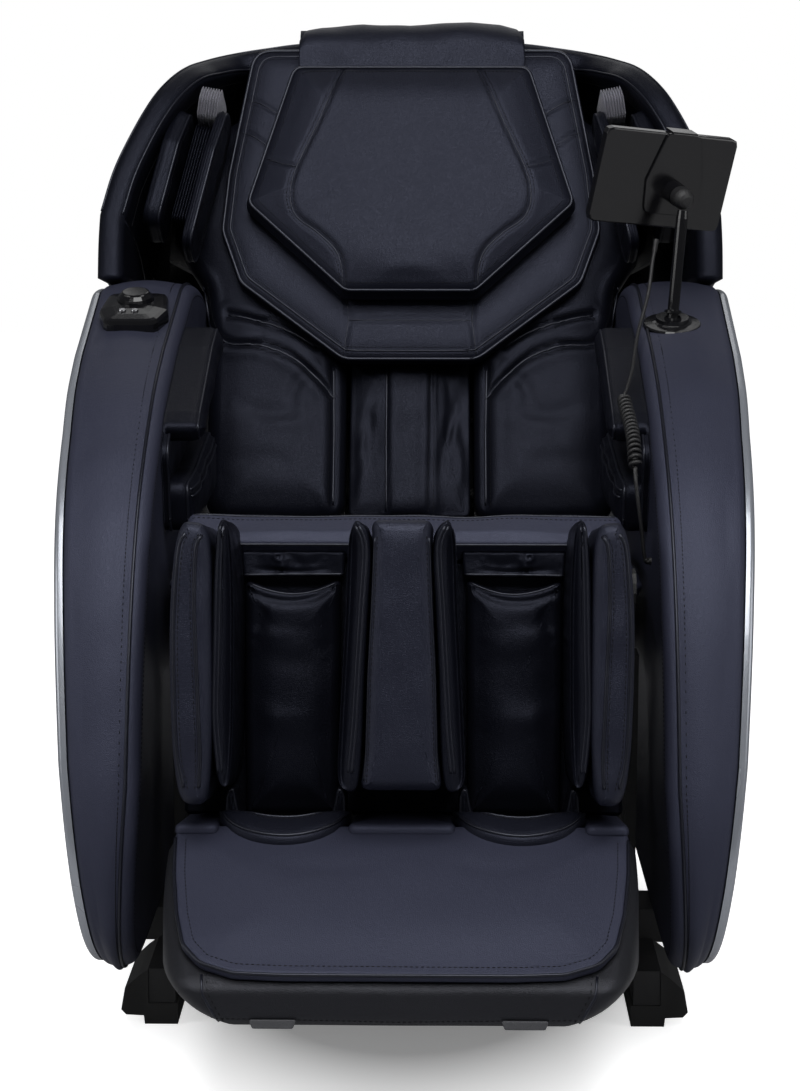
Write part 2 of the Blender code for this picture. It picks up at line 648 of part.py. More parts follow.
def shoulder_leaf(name, corners, inner_face, depth, crown, edge):
    outline = rounded([(-a, b) for a, b in reversed(corners)], 0.025, 1)
    return cushion(name, outline, depth, crown, edge, BACK, shoulder_place() @ facing_left(inner_face),
                   steps=1)


def wings():
    """Padded hood beside and over the head: a curved sheet thickened inwards."""
    crest = [(0.4000, 0.454, -0.195), (0.3880, 0.510, -0.195), (0.3720, 0.560, -0.190),
             (0.3530, 0.606, -0.182),
             (0.3310, 0.646, -0.170), (0.3050, 0.682, -0.140), (0.2750, 0.714, -0.095),
             (0.2400, 0.741, -0.070),
             (0.2000, 0.757, -0.070), (0.1500, 0.7655, -0.070), (0.0800, 0.7680, -0.070),
             (0.0005, 0.7680, -0.070)]
    foot_radius = 0.417
    rows = []
    columns = 4
    for x, z, front in [(0.400, None, -0.195)] + crest:
        row = []
        for k in range(columns):
            y = front + (SHELL_FRONT - GAP - front) * k / (columns - 1)
            row.append((x, y, math.sqrt(foot_radius ** 2 - y ** 2) if z is None else z))
        rows.append(row)
    bm = bmesh.new()
    grid = [[bm.verts.new(p) for p in row] for row in rows]
    for lower, upper in zip(grid, grid[1:]):
        for k in range(columns - 1):
            bm.faces.new((lower[k], lower[k + 1], upper[k + 1], upper[k]))
    wing = piece("shoulder_wing_right", bm, BACK, LEATHER)
    wall = wing.modifiers.new("padding", "SOLIDIFY")
    wall.thickness = 0.034
    wall.offset = -1
    soft = wing.modifiers.new("edge", "BEVEL")
    soft.width = 0.008
    soft.segments = 2
    soft.limit_method = "ANGLE"
    soft.angle_limit = math.radians(50)
    leaf = [(-0.168, 0.445), (-0.084, 0.445), (-0.080, 0.560), (-0.092, 0.615), (-0.150, 0.615),
            (-0.172, 0.560)]
    join(wing, shoulder_leaf("outer_leaf", leaf, OUTER_LEAF + 0.045, 0.045, 0.0, 0.007))
    other_side(wing)


def shoulder_pads():
    """Air pad beside each shoulder: an inner leaf and the ribbed bellows behind it."""
    leaf = [(-0.165, 0.425), (-0.088, 0.425), (-0.079, 0.560), (-0.092, 0.632), (-0.150, 0.632),
            (-0.170, 0.560)]
    other_side(shoulder_leaf("shoulder_pad_right", leaf, 0.0, 0.014, 0.004, 0.007))
    ribs = 6
    low, high, front, rear = 0.470, 0.640, -0.160, -0.084
    bm = bmesh.new()
    rings = []
    for k in range(2 * ribs + 1):
        drawn = 0.0 if k % 2 else 0.006
        x = 0.0006 + 0.029 * k / (2 * ribs)
        corners = rounded([(front + drawn, low + drawn), (rear - drawn, low + drawn),
                           (rear - drawn, high - drawn),
                           (front + drawn, high - drawn)], 0.02)
        rings.append([bm.verts.new((x, y, z)) for y, z in corners])
    for inner, outer in zip(rings, rings[1:]):
        for i in range(len(inner)):
            j = (i + 1) % len(inner)
            bm.faces.new((inner[i], inner[j], outer[j], outer[i]))
    bm.faces.new(rings[0])
    bm.faces.new(rings[-1])
    bellows = piece("shoulder_bellows_right", bm, BACK, FABRIC, shoulder_place())
    other_side(bellows)


def back_cushions():
    lumbar = rounded([(0.080, 0.088), (0.240, 0.088), (0.266, 0.112), (0.268, 0.405), (0.300, 0.424),
                      (0.330, 0.455),
                      (0.324, 0.560), (0.272, 0.640), (0.200, 0.690), (0.080, 0.695)], 0.02, 1)
    side = cushion("lumbar_cushion_right", lumbar, CUSHION_DEPTH - 0.012, 0.012, 0.018, BACK,
                   facing_front(BOARD_FRONT - GAP))
    other_side(side)
    strip = rounded([(-0.0790, 0.088), (0.0790, 0.088), (0.0790, 0.695), (-0.0790, 0.695)], 0.01)
    cushion("back_strip", strip, 0.018, 0.006, 0.010, BACK, facing_front(BOARD_FRONT - GAP))
    pad = mirrored_outline([(0.090, 0.292), (0.227, 0.400), (0.252, 0.476), (0.247, 0.557), (0.216, 0.748)])
    front = BOARD_FRONT - CUSHION_DEPTH - 2 * GAP
    cushion("back_pad", rounded(pad, 0.03), 0.018, 0.006, 0.008, BACK, facing_front(front))
    pillow = mirrored_outline([(0.086, 0.368), (0.2185, 0.497), (0.160, 0.702)])
    front -= PAD_DEPTH + GAP
    cushion("head_pillow", rounded(pillow, 0.02), 0.036, 0.014, 0.016, BACK, facing_front(front),
            rear_edge=0.012)
    head_flap(front)


def head_flap(pad_front):
    """Leather flap that drapes over the hood's top edge and down in front of the pad, with two swells."""
    swells = [(0.160, 0.7040), (0.168, 0.7450), (0.161, 0.7800), (0.118, 0.7980), (0.070, 0.8030),
              (0.028, 0.7970),
              (0.0, 0.7890)]
    right = [tuple(p) for p in flow(swells, 2)]
    outline = right[:-1] + [right[-1]] + [(-a, b) for a, b in reversed(right[:-1])]
    front, rear = pad_front - 0.017, 0.030
    flap = cushion("head_flap", outline, rear - front, 0.0, 0.014, BACK, facing_front(rear), rear_edge=0.008)
    under = 0.7785
    middle = (0, (rear + pad_front) / 2 + 0.01 - GAP, under - 0.10)
    cut(flap, box("hood_room", (0.40, rear - pad_front + 0.02, 0.20), middle, BACK, LEATHER))


def carriage():
    """Massage carriage between the rails, with two kneading arms and their rollers."""
    body = box("massage_carriage", (0.168, 0.044, 0.140), (0, 0.063, 0.200), BACK, DARK, edge=0.004)
    motor = cylinder("motor", 0.024, 0.150, (0, 0.088, 0.225), (1, 0, 0), BACK, DARK, 16)
    parts = [motor]
    for side in (-1, 1):
        parts.append(box("lug", (0.0125, 0.060, 0.026), (side * 0.0320, 0.018, 0.150), BACK, DARK))
        parts.append(cylinder("pivot", 0.005, 0.026, (side * 0.0400, 0.0, 0.150), (1, 0, 0), BACK, DARK, 16))
        for z in (0.150, 0.258):
            parts.append(cylinder("guide", 0.0080, 0.022, (side * 0.0915, GUIDE_Y, z), (1, 0, 0), BACK, DARK,
                                  12))
    join(body, *parts)
    arm = piece("kneading_arm_right", slab(rounded([(-0.012, 0.136), (0.012, 0.136), (0.014, 0.227),
                                                    (-0.010, 0.227)],
                                                   0.008), 0.0095), BACK, STEEL, facing_right(0.0400))
    cut(arm, cylinder("arm_bore", 0.0055, 0.03, (0.045, 0.0, 0.150), (1, 0, 0), BACK, STEEL, 16))
    join(arm, cylinder("stub", 0.004, 0.028, (0.0620, 0.002, 0.2145), (1, 0, 0), BACK, STEEL, 16))
    other_side(arm)
    wheel = [(0.0045, 0.0125), (0.0200, 0.0125), (0.0255, 0.0090), (0.0280, 0.0), (0.0255, -0.0090),
             (0.0200, -0.0125), (0.0045, -0.0125)]
    for side, name in ((-1, "left"), (1, "right")):
        turned("kneading_roller_" + name, wheel, (side * 0.0630, 0.002, 0.2145), (1, 0, 0), BACK, RUBBER, 16,
               ring=True)


def actuator():
    """Linear actuator between the floor frame and the backrest lever."""
    lean = Matrix.Rotation(-BACK_LEAN, 2)
    pin = Vector(RECLINE_AXIS) + lean @ Vector(LEVER_PIN)
    foot = Vector(ACTUATOR_FOOT)
    reach = pin - foot
    length = reach.length
    turn = Vector((0, 0, 1)).rotation_difference(Vector((0, reach.x, reach.y))).to_matrix().to_4x4()
    group = empty("actuator_foot", CHAIR, Matrix.Translation((0, *foot)) @ turn)
    body = cylinder("recline_actuator", 0.019, 0.190, (0, 0, 0.125), (0, 0, 1), group, DARK, 20)
    join(body, box("foot_eye", (0.018, 0.024, 0.060), (0, 0, 0.016), group, DARK))
    cut(body, cylinder("foot_bore", 0.0064, 0.03, (0, 0, 0), (1, 0, 0), group, DARK, 16),
        cylinder("rod_bore", 0.0090, 0.190, (0, 0, 0.135), (0, 0, 1), group, DARK, 20))
    start, end = 0.055, length - 0.013
    rod = cylinder("actuator_rod", 0.0085, end - start, (0, 0, (start + end) / 2), (0, 0, 1), group, CHROME,
                   20)
    eye = cylinder("eye", 0.0165, 0.0225, (0, 0, length), (1, 0, 0), group, CHROME, 24)
    join(rod, eye)
    cut(rod, cylinder("eye_bore", 0.006 + EYE_CLEARANCE, 0.04, (0, 0, length), (1, 0, 0), group, CHROME, 20))


# ---------------------------------------------------------------- leg rest
def calf_unit():
    depth = HOUSING_REAR - HOUSING_FRONT
    housing = box("calf_housing", (0.4720, depth, 0.275), (0, (HOUSING_REAR + HOUSING_FRONT) / 2, -0.1075),
                  LEGS, DARK,
                  edge=0.004)
    for side in (-1, 1):
        cut(housing, cylinder("hinge_bore", PIN_BORE, 0.040, (side * 0.2380, 0, 0), (1, 0, 0), LEGS, DARK,
                              16),
            cylinder("slider_bore", 0.0078, 0.220, (side * SLIDER_X, 0.007, -0.150), (0, 0, 1), LEGS, DARK,
                     16))
    bar = rounded([(HOUSING_FRONT - 0.020, 0.0305), (HOUSING_REAR - 0.004, 0.0305),
                   (HOUSING_REAR - 0.002, 0.050),
                   (0.014, 0.077), (-0.004, 0.079), (-0.030, 0.060), (HOUSING_FRONT - 0.024, 0.044)], 0.010)
    turn = Matrix(((0, 0, 1, -0.236), (1, 0, 0, 0), (0, 1, 0, 0), (0, 0, 0, 1)))
    piece("calf_top_bar", slab(bar, 0.472, front_edge=0.006, rear_edge=0.006), LEGS, LEATHER, turn)
    pad = rounded([(0.0755, -0.243), (0.1675, -0.243), (0.1675, 0.029), (0.0755, 0.029)], 0.008)
    calf = cushion("calf_pad_right", pad, 0.022, 0.008, 0.010, LEGS, facing_front(HOUSING_FRONT - GAP))
    other_side(calf)


def bar_room():
    """What the upright pads leave free for the bar above the housing."""
    return box("bar_room", (0.60, 0.029, 0.063), (0, -0.0255, 0.060), LEGS, LEATHER)


def calf_bolsters():
    """Upright pads that wall the two calf channels; they stand higher in front of the bar."""
    top = 0.060
    depth = HOUSING_FRONT - GAP - BOLSTER_FRONT
    place = facing_front(HOUSING_FRONT - GAP)
    outer = rounded([(0.1870, -0.222), (0.2340, -0.222), (0.2365, -0.100), (0.2290, top), (0.1870, top)],
                    0.016)
    bolster = cushion("calf_bolster_right", outer, depth, 0.0, 0.020, LEGS, place)
    leaf = rounded([(0.1705, -0.200), (0.1900, -0.215), (0.1900, 0.050), (0.1760, 0.066)], 0.008)
    join(bolster, cushion("leaf", leaf, depth - 0.010, 0.0, 0.005, LEGS, place))
    cut(bolster, bar_room())
    other_side(bolster)
    middle = mirrored_outline([(0.042, -0.208), (0.034, -0.060), (0.030, top)])
    centre = cushion("calf_center_bolster", rounded(middle, 0.008), depth, 0.0, 0.012, LEGS, place)
    cut(centre, bar_room())
    inner = rounded([(0.0429, -0.208), (0.0644, -0.208), (0.0584, -0.060), (0.0530, 0.050), (0.0440, 0.064),
                     (0.0309, top), (0.0349, -0.060)], 0.005, 1)
    pad = cushion("calf_inner_pad_right", inner, depth - 0.006, 0.0, 0.005, LEGS, place)
    cut(pad, bar_room())
    other_side(pad)


def foot_unit():
    """Sliding foot box with its two wells, sloping cover, collars and sole roller."""
    side = [(0.022, -0.2525), (-0.118, FOOT_TOP - 0.001), (-0.268, -0.372), (-0.290, -0.390),
            (-0.284, -0.422),
            (-0.240, -0.431), (-0.010, -0.432), (0.022, -0.405)]
    half = 0.242
    turn = Matrix(((0, 0, 1, -half), (1, 0, 0, 0), (0, 1, 0, 0), (0, 0, 0, 1)))
    bm = slab(rounded(side, 0.012, 1), 2 * half, front_edge=0.016, rear_edge=0.016)
    for v in bm.verts:
        nose = min(1.0, max(0.0, (-v.co.x - 0.118) / 0.17))
        low = min(1.0, max(0.0, (-v.co.y - 0.375) / 0.057))
        v.co.z = half + (v.co.z - half) * (1 - 0.10 * nose ** 2) * (1 - 0.16 * low ** 2)
    housing = piece("foot_housing", bm, LEGS, LEATHER, turn)
    wells = []
    for s in (-1, 1):
        wells.append(box("well", (0.100, 0.095, 0.180), (s * 0.122, -0.0575, -0.320), LEGS, LEATHER,
                         edge=0.006))
        join(housing, cylinder("slider", 0.0073, 0.200, (s * SLIDER_X, 0.007, -0.160), (0, 0, 1), LEGS,
                               CHROME, 16))
    cut(housing, *wells)
    cut(housing, cylinder("roller_tunnel", 0.0190, 0.340, (0, -0.0575, -0.3880), (1, 0, 0), LEGS, LEATHER,
                          20),
        cylinder("roller_bore", 0.0056, 0.372, (0, -0.0575, -0.3880), (1, 0, 0), LEGS, LEATHER, 16))
    roller = [(0.0, 0.184), (0.005, 0.184), (0.005, 0.168)]
    lobes = 4
    for k in range(lobes):
        x = 0.164 - 0.026 * k
        roller += [(0.0125, x), (0.0175, x - 0.013)]
    roller += [(0.0110, 0.062)]
    full = roller + [(r, -x) for r, x in reversed(roller)]
    turned("sole_roller", full, (0, -0.0575, -0.3880), (1, 0, 0), LEGS, RUBBER, 10)
    foot_cover()
    foot_collars()


def foot_cover():
    """Leather top of the foot box, on its slope."""
    top = Vector((0, -0.118, FOOT_TOP - 0.001))
    run = Vector((0, -0.268, -0.372)) - top
    length = run.length
    run.normalize()
    out = Vector((1, 0, 0)).cross(-run)
    place = Matrix((Vector((1, 0, 0)), -run, out)).transposed().to_4x4()
    place.translation = top + out * GAP
    plan = rounded([(-0.206, -length + 0.004), (0.206, -length + 0.004), (0.230, -length + 0.07),
                    (0.238, -0.014),
                    (0.1900, -0.0120), (-0.1900, -0.0120), (-0.238, -0.014), (-0.230, -length + 0.07)], 0.02,
                    1)
    cushion("foot_cover", plan, 0.010, 0.008, 0.006, LEGS, place)


def foot_collars():
    """Padded rim round the front and sides of each foot well."""
    lip = [(0.0585, -0.016), (0.0585, -0.108), (0.066, -0.1215), (0.178, -0.1215), (0.1855, -0.108),
           (0.1855, -0.016),
           (0.1725, -0.016), (0.1725, -0.1060), (0.0715, -0.1060), (0.0715, -0.016)]
    bm = slab(lip, 0.012, front_edge=0.003, rear_edge=0.001, steps=1)
    base = FOOT_TOP + 0.0105
    collar = piece("foot_collar_right", bm, LEGS, LEATHER, facing_up(0, 0, base))
    ear = rounded([(-0.0162, base + 0.001), (-0.0162, base + 0.040), (-0.0450, base + 0.036),
                   (-0.0800, base + 0.016),
                   (-0.1000, base + 0.001)], 0.006, 1)
    for x in (0.0588, 0.1728):
        ear_slab = slab([(a, b) for a, b in reversed(ear)], 0.0124, front_edge=0.003, rear_edge=0.003,
                        steps=1)
        join(collar, piece("ear", ear_slab, LEGS, LEATHER, facing_right(x)))
    other_side(collar)


# ---------------------------------------------------------------- tablet cord
def curl(axis_points, turns, radius, sides):
    """Helix about a curved axis; the first and last half turns close in to the axis."""
    path = [Vector(p) for p in flow(axis_points, 12)]
    lengths = [0.0]
    for a, b in zip(path, path[1:]):
        lengths.append(lengths[-1] + (b - a).length)
    count = turns * sides
    side = Vector((1, 0, 0))
    out = []
    for k in range(count + 1):
        s = lengths[-1] * k / count
        i = min(max(np.searchsorted(lengths, s) - 1, 0), len(path) - 2)
        t = (s - lengths[i]) / (lengths[i + 1] - lengths[i])
        centre = path[i].lerp(path[i + 1], t)
        along = (path[i + 1] - path[i]).normalized()
        side = (side - along * side.dot(along)).normalized()
        other = along.cross(side)
        grow = min(1.0, k / sides * 1.6, (count - k) / sides * 1.6)
        angle = 2 * math.pi * k / sides
        out.append(centre + (side * math.cos(angle) + other * math.sin(angle)) * radius * grow)
    return out


def tablet_cord():
    """Strain relief, hanging stretch, curly stretch and the run down to the arm's socket."""
    upper = [(0.3010, 0.0250, 0.8640), (0.2990, 0.0200, 0.8540), (0.2950, 0.0070, 0.8350),
             (0.2880, -0.0200, 0.8000),
             (0.2720, -0.0750, 0.7580), (0.2600, -0.1500, 0.7240), (0.2500, -0.1950, 0.7050)]
    bend = [(0.2440, -0.2100, 0.6980), (0.2420, -0.2350, 0.6850), (0.2420, -0.2650, 0.6700),
            (0.2400, -0.2950, 0.6530),
            (0.2340, -0.3130, 0.6380), (0.2300, -0.3200, 0.6280)]
    lower = [(0.2310, -0.3240, 0.6180), (0.2360, -0.3270, 0.6020), (0.2440, -0.3260, 0.5850),
             (0.2530, -0.3220, 0.5650),
             (0.2560, -0.3180, 0.5480), (0.2580, -0.3150, 0.5370), (0.2640, -0.3120, 0.5300),
             (0.2700, -0.3110, 0.5290)]
    helix = curl(bend, CURL_TURNS, CURL_RADIUS, CURL_SIDES)
    first = [Vector(p) for p in flow(upper, 3)]
    last = [Vector(p) for p in flow(lower, 3)]
    points = first + helix + last
    tube("tablet_cord", points, CORD, CHAIR, GLOSS, resolution=1)
    worst = least_gap(points)
    print("tablet cord least gap to itself, mm: %.2f" % (worst * 1000))
    print("tablet cord centreline, m: %.3f" % sum((b - a).length for a, b in zip(points, points[1:])))


def least_gap(points):
    """Smallest space between stretches of the tube that are not neighbours."""
    pts = np.array([tuple(p) for p in points])
    least = 1.0
    for i in range(len(pts)):
        far = np.linalg.norm(pts[i + 5:] - pts[i], axis=1) if i + 5 < len(pts) else np.array([1.0])
        least = min(least, float(far.min()) - 2 * CORD)
    return least


def main():
    arm_band()
    arm_shell()
    arm_pad()
    base_frame()
    feet_and_wheels()
    inner_units()
    seat_cushion()
    dial()
    tablet()
    tablet_head()
    back_frame()
    back_covers()
    shoulder_pads()
    back_cushions()
    carriage()
    actuator()
    calf_unit()
    calf_bolsters()
    foot_unit()
    tablet_cord()


main()
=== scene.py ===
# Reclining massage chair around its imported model: leather pads, sewn seams, side shells and controls.
# Metres, +Z up, the sitter faces -Y. "left" and "right" are as seen from the front.
import math

import bpy
import numpy as np
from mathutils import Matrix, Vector
from mathutils.bvhtree import BVHTree


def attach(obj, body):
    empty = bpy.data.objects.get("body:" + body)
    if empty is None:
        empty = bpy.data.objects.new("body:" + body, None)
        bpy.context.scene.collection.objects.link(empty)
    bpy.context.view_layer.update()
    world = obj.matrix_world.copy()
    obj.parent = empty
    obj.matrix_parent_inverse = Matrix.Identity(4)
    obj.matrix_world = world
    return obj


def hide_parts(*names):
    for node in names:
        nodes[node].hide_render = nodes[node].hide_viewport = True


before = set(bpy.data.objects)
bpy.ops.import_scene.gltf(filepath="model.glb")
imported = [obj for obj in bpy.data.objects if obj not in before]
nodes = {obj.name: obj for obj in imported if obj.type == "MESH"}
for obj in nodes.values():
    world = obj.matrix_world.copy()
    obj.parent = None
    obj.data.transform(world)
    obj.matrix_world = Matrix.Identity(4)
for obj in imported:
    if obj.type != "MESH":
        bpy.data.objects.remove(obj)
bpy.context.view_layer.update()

# leans are in degrees, axes are (y, z)
chair = {"depthShift": 0.05654, "backAxis": (0.16, 0.40), "backLean": 28, "legAxis": (-0.345, 0.505),
         "legLean": 12, "seatCentre": (-0.088, 0.415), "seatLean": 5}
bothSides = ((1, "right"), (-1, "left"))


# ---- places
def leaned(points, axis, degrees):
    # turns local (x, y, z) about the chair's x axis and sets it on an axis given as (y, z)
    c, s = math.cos(math.radians(degrees)), math.sin(math.radians(degrees))
    x, y, z = points[..., 0], points[..., 1], points[..., 2]
    return np.stack((x, axis[0] + chair["depthShift"] + y * c + z * s, axis[1] - y * s + z * c), -1)


def onChair(points):
    return leaned(points, (0, 0), 0)


def onBack(points):
    return leaned(points, chair["backAxis"], chair["backLean"])


def onLegs(points):
    return leaned(points, chair["legAxis"], chair["legLean"])


def onSeat(points):
    return leaned(points, chair["seatCentre"], chair["seatLean"])


def facing(place, rear):
    # grid values (across, depth, up) become a piece that grows towards the sitter from a plane
    return lambda g: place(np.stack((g[..., 0], rear - g[..., 1], g[..., 2]), -1))


def upward(place, foot):
    return lambda g: place(np.stack((g[..., 0], g[..., 2], foot + g[..., 1]), -1))


def inward(side, wall):
    # grid values (depth along the chair, thickness, up) on an arm's inner face
    return lambda g: onChair(np.stack((side * (wall - g[..., 1]), g[..., 0], g[..., 2]), -1))


# ---- curves
def evenly(points, count, closed=False):
    # equal steps along a polyline
    points = np.asarray(points, float)
    if closed:
        points = closing(points)
    run = np.concatenate(([0.0], np.cumsum(np.linalg.norm(np.diff(points, axis=0), axis=1))))
    at = np.linspace(0, run[-1], count, endpoint=not closed)
    return np.stack([np.interp(at, run, points[:, k]) for k in range(points.shape[1])], 1)


def flowing(points, steps=8, closed=False):
    # Catmull-Rom: each span blends its four nearest points by cubic weights
    p = np.asarray(points, float)
    q = np.vstack((p[-1], p, p[:2])) if closed else np.vstack((2 * p[0] - p[1], p, 2 * p[-1] - p[-2]))
    t = np.linspace(0, 1, steps, endpoint=False)[None, :, None]
    a, b, c, d = (q[k:len(q) - 3 + k][:, None, :] for k in range(4))
    spans = 0.5 * (2 * b + (c - a) * t + (2 * a - 5 * b + 4 * c - d) * t ** 2
                   + (3 * b - a - 3 * c + d) * t ** 3)
    out = spans.reshape(-1, p.shape[1])
    return out if closed else np.vstack((out, p[-1:]))


def cornered(corners, radius, steps=8):
    # each corner becomes a quadratic curve between points a radius away along its two sides
    here = np.asarray(corners, float)
    before, after = np.roll(here, 1, 0) - here, np.roll(here, -1, 0) - here
    lengthBefore, lengthAfter = np.linalg.norm(before, axis=1), np.linalg.norm(after, axis=1)
    before, after = before / lengthBefore[:, None], after / lengthAfter[:, None]
    half = np.arccos(np.clip((before * after).sum(1), -0.9999, 0.9999)) / 2
    reach = np.minimum(np.broadcast_to(radius, half.shape) / np.tan(half),
                       0.45 * np.minimum(lengthBefore, lengthAfter))[:, None]
    start, end = here + before * reach, here + after * reach
    t = np.linspace(0, 1, steps + 1)[None, :, None]
    curve = (1 - t) ** 2 * start[:, None] + 2 * t * (1 - t) * here[:, None] + t ** 2 * end[:, None]
    return curve.reshape(-1, 2)


def mirrored(half):
    # closes an outline given on its right side, bottom to top
    half = [tuple(p) for p in half]
    return half + [(-a, b) for a, b in reversed(half) if a > 1e-6]


def flip(points):
    return np.asarray(points, float) * (-1, 1)


def onSide(side):
    # lines are given for the right side and flipped for the left one
    return flip if side < 0 else lambda line: np.asarray(line, float)


def closing(line):
    return np.vstack((line, line[:1]))


def inwards(outline):
    # unit directions to the left of a closed outline, which is its inside when it runs anticlockwise
    t = tangents(outline, True)
    return np.stack((-t[:, 1], t[:, 0]), 1)


def tangents(line, closed):
    step = np.roll(line, -1, 0) - np.roll(line, 1, 0) if closed else np.gradient(line, axis=0)
    return step / np.maximum(np.linalg.norm(step, axis=1, keepdims=True), 1e-9)


def beside(line, distance, closed=False):
    # the line moved to its left by a distance
    line = np.asarray(line, float)
    t = tangents(line, closed)
    return line + np.stack((-t[:, 1], t[:, 0]), 1) * distance


def distanceTo(points, lines):
    # least distance from each point to any of the polylines
    best = np.full(len(points), 9.0)
    for line in lines:
        line = np.asarray(line, float)
        a, ab = line[:-1], np.diff(line, axis=0)
        t = np.clip(((points[:, None] - a) * ab).sum(-1) / np.maximum((ab ** 2).sum(-1), 1e-12), 0, 1)
        gap = np.linalg.norm(points[:, None] - a - ab * t[..., None], axis=-1).min(1)
        best = np.minimum(best, gap)
    return best


def swell(points, seed, size, height):
    # a few crossing waves of about one size
    random = np.random.default_rng(seed)
    angle, phase = random.uniform(0, math.pi, 6), random.uniform(0, 2 * math.pi, 6)
    wave = 2 * math.pi / (size * random.uniform(0.7, 1.5, 6))
    along = points[:, :1] * (np.cos(angle) * wave) + points[:, 1:2] * (np.sin(angle) * wave)
    return height * np.sin(along + phase).mean(1)


# ---- meshes
trees = {}


def meshed(name, points, quads, tris, body, look, slot=None):
    middle = points.mean(0)
    a, b, c = (points[quads[:, k]] - middle for k in (0, 1, 2))
    d = points[quads[:, 3]] - middle
    if (np.cross(a, b) * c).sum() + (np.cross(a, c) * d).sum() < 0:   # inside out
        quads, tris = quads[:, ::-1], tris[:, ::-1]
    mesh = bpy.data.meshes.new(name)
    mesh.vertices.add(len(points))
    mesh.vertices.foreach_set("co", points.astype(np.float32).ravel())
    loops = np.concatenate((quads.ravel(), tris.ravel())).astype(np.int32)
    starts = np.concatenate((np.arange(len(quads)) * 4, len(quads) * 4 + np.arange(len(tris)) * 3))
    mesh.loops.add(len(loops))
    mesh.loops.foreach_set("vertex_index", loops)
    mesh.polygons.add(len(starts))
    mesh.polygons.foreach_set("loop_start", starts.astype(np.int32))
    mesh.update(calc_edges=True)
    mesh.shade_smooth()
    piece = bpy.data.objects.new(name, mesh)
    bpy.context.scene.collection.objects.link(piece)
    mesh.materials.append(look)
    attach(piece, body)
    trees[name] = (points, quads, tris)
    return piece


def skinned(name, grid, body, look, slot=None, around=True, capped=True):
    # rows of points joined to their neighbours; the end rows close on their middle points
    rows, columns = grid.shape[:2]
    index = np.arange(rows * columns).reshape(rows, columns)
    here, there = (index, np.roll(index, -1, 1)) if around else (index[:, :-1], index[:, 1:])
    quads = np.stack((here[:-1], there[:-1], there[1:], here[1:]), -1).reshape(-1, 4)
    points, tris = grid.reshape(-1, 3), np.zeros((0, 3), int)
    if capped:
        pole = len(points)
        points = np.vstack((points, grid[0].mean(0), grid[-1].mean(0)))
        first = np.stack((there[0], here[0], np.full(len(here[0]), pole)), 1)
        last = np.stack((here[-1], there[-1], np.full(len(here[0]), pole + 1)), 1)
        tris = np.concatenate((first, last))
    return meshed(name, points, quads, tris, body, look, slot)


def rope(path, radius, hint, sides=8, closed=False):
    # circles along a path, squared to it, their first point towards the hint
    t = tangents(path, closed)
    hint = np.broadcast_to(np.asarray(hint, float), path.shape)
    n = hint - (hint * t).sum(1, keepdims=True) * t
    n /= np.maximum(np.linalg.norm(n, axis=1, keepdims=True), 1e-9)
    b = np.cross(t, n)
    turn = np.linspace(0, 2 * math.pi, sides, endpoint=False)
    radius = np.broadcast_to(radius, (len(path),))[:, None, None]
    ring = np.cos(turn)[None, :, None] * n[:, None] + np.sin(turn)[None, :, None] * b[:, None]
    return path[:, None] + radius * ring


def laidOn(name, points, direction):
    # slides points along a direction on to a piece; returns where they meet it and its normals there
    if not isinstance(trees[name], BVHTree):
        p, quads, tris = trees[name]
        trees[name] = BVHTree.FromPolygons(p.tolist(), quads.tolist() + tris.tolist())
    ray = Vector(direction).normalized()
    found = [trees[name].ray_cast(Vector(p) - ray * 0.5, ray) for p in points]
    found = [f for f in found if f[0] is not None]
    return np.array([f[0] for f in found]), np.array([f[1] for f in found])


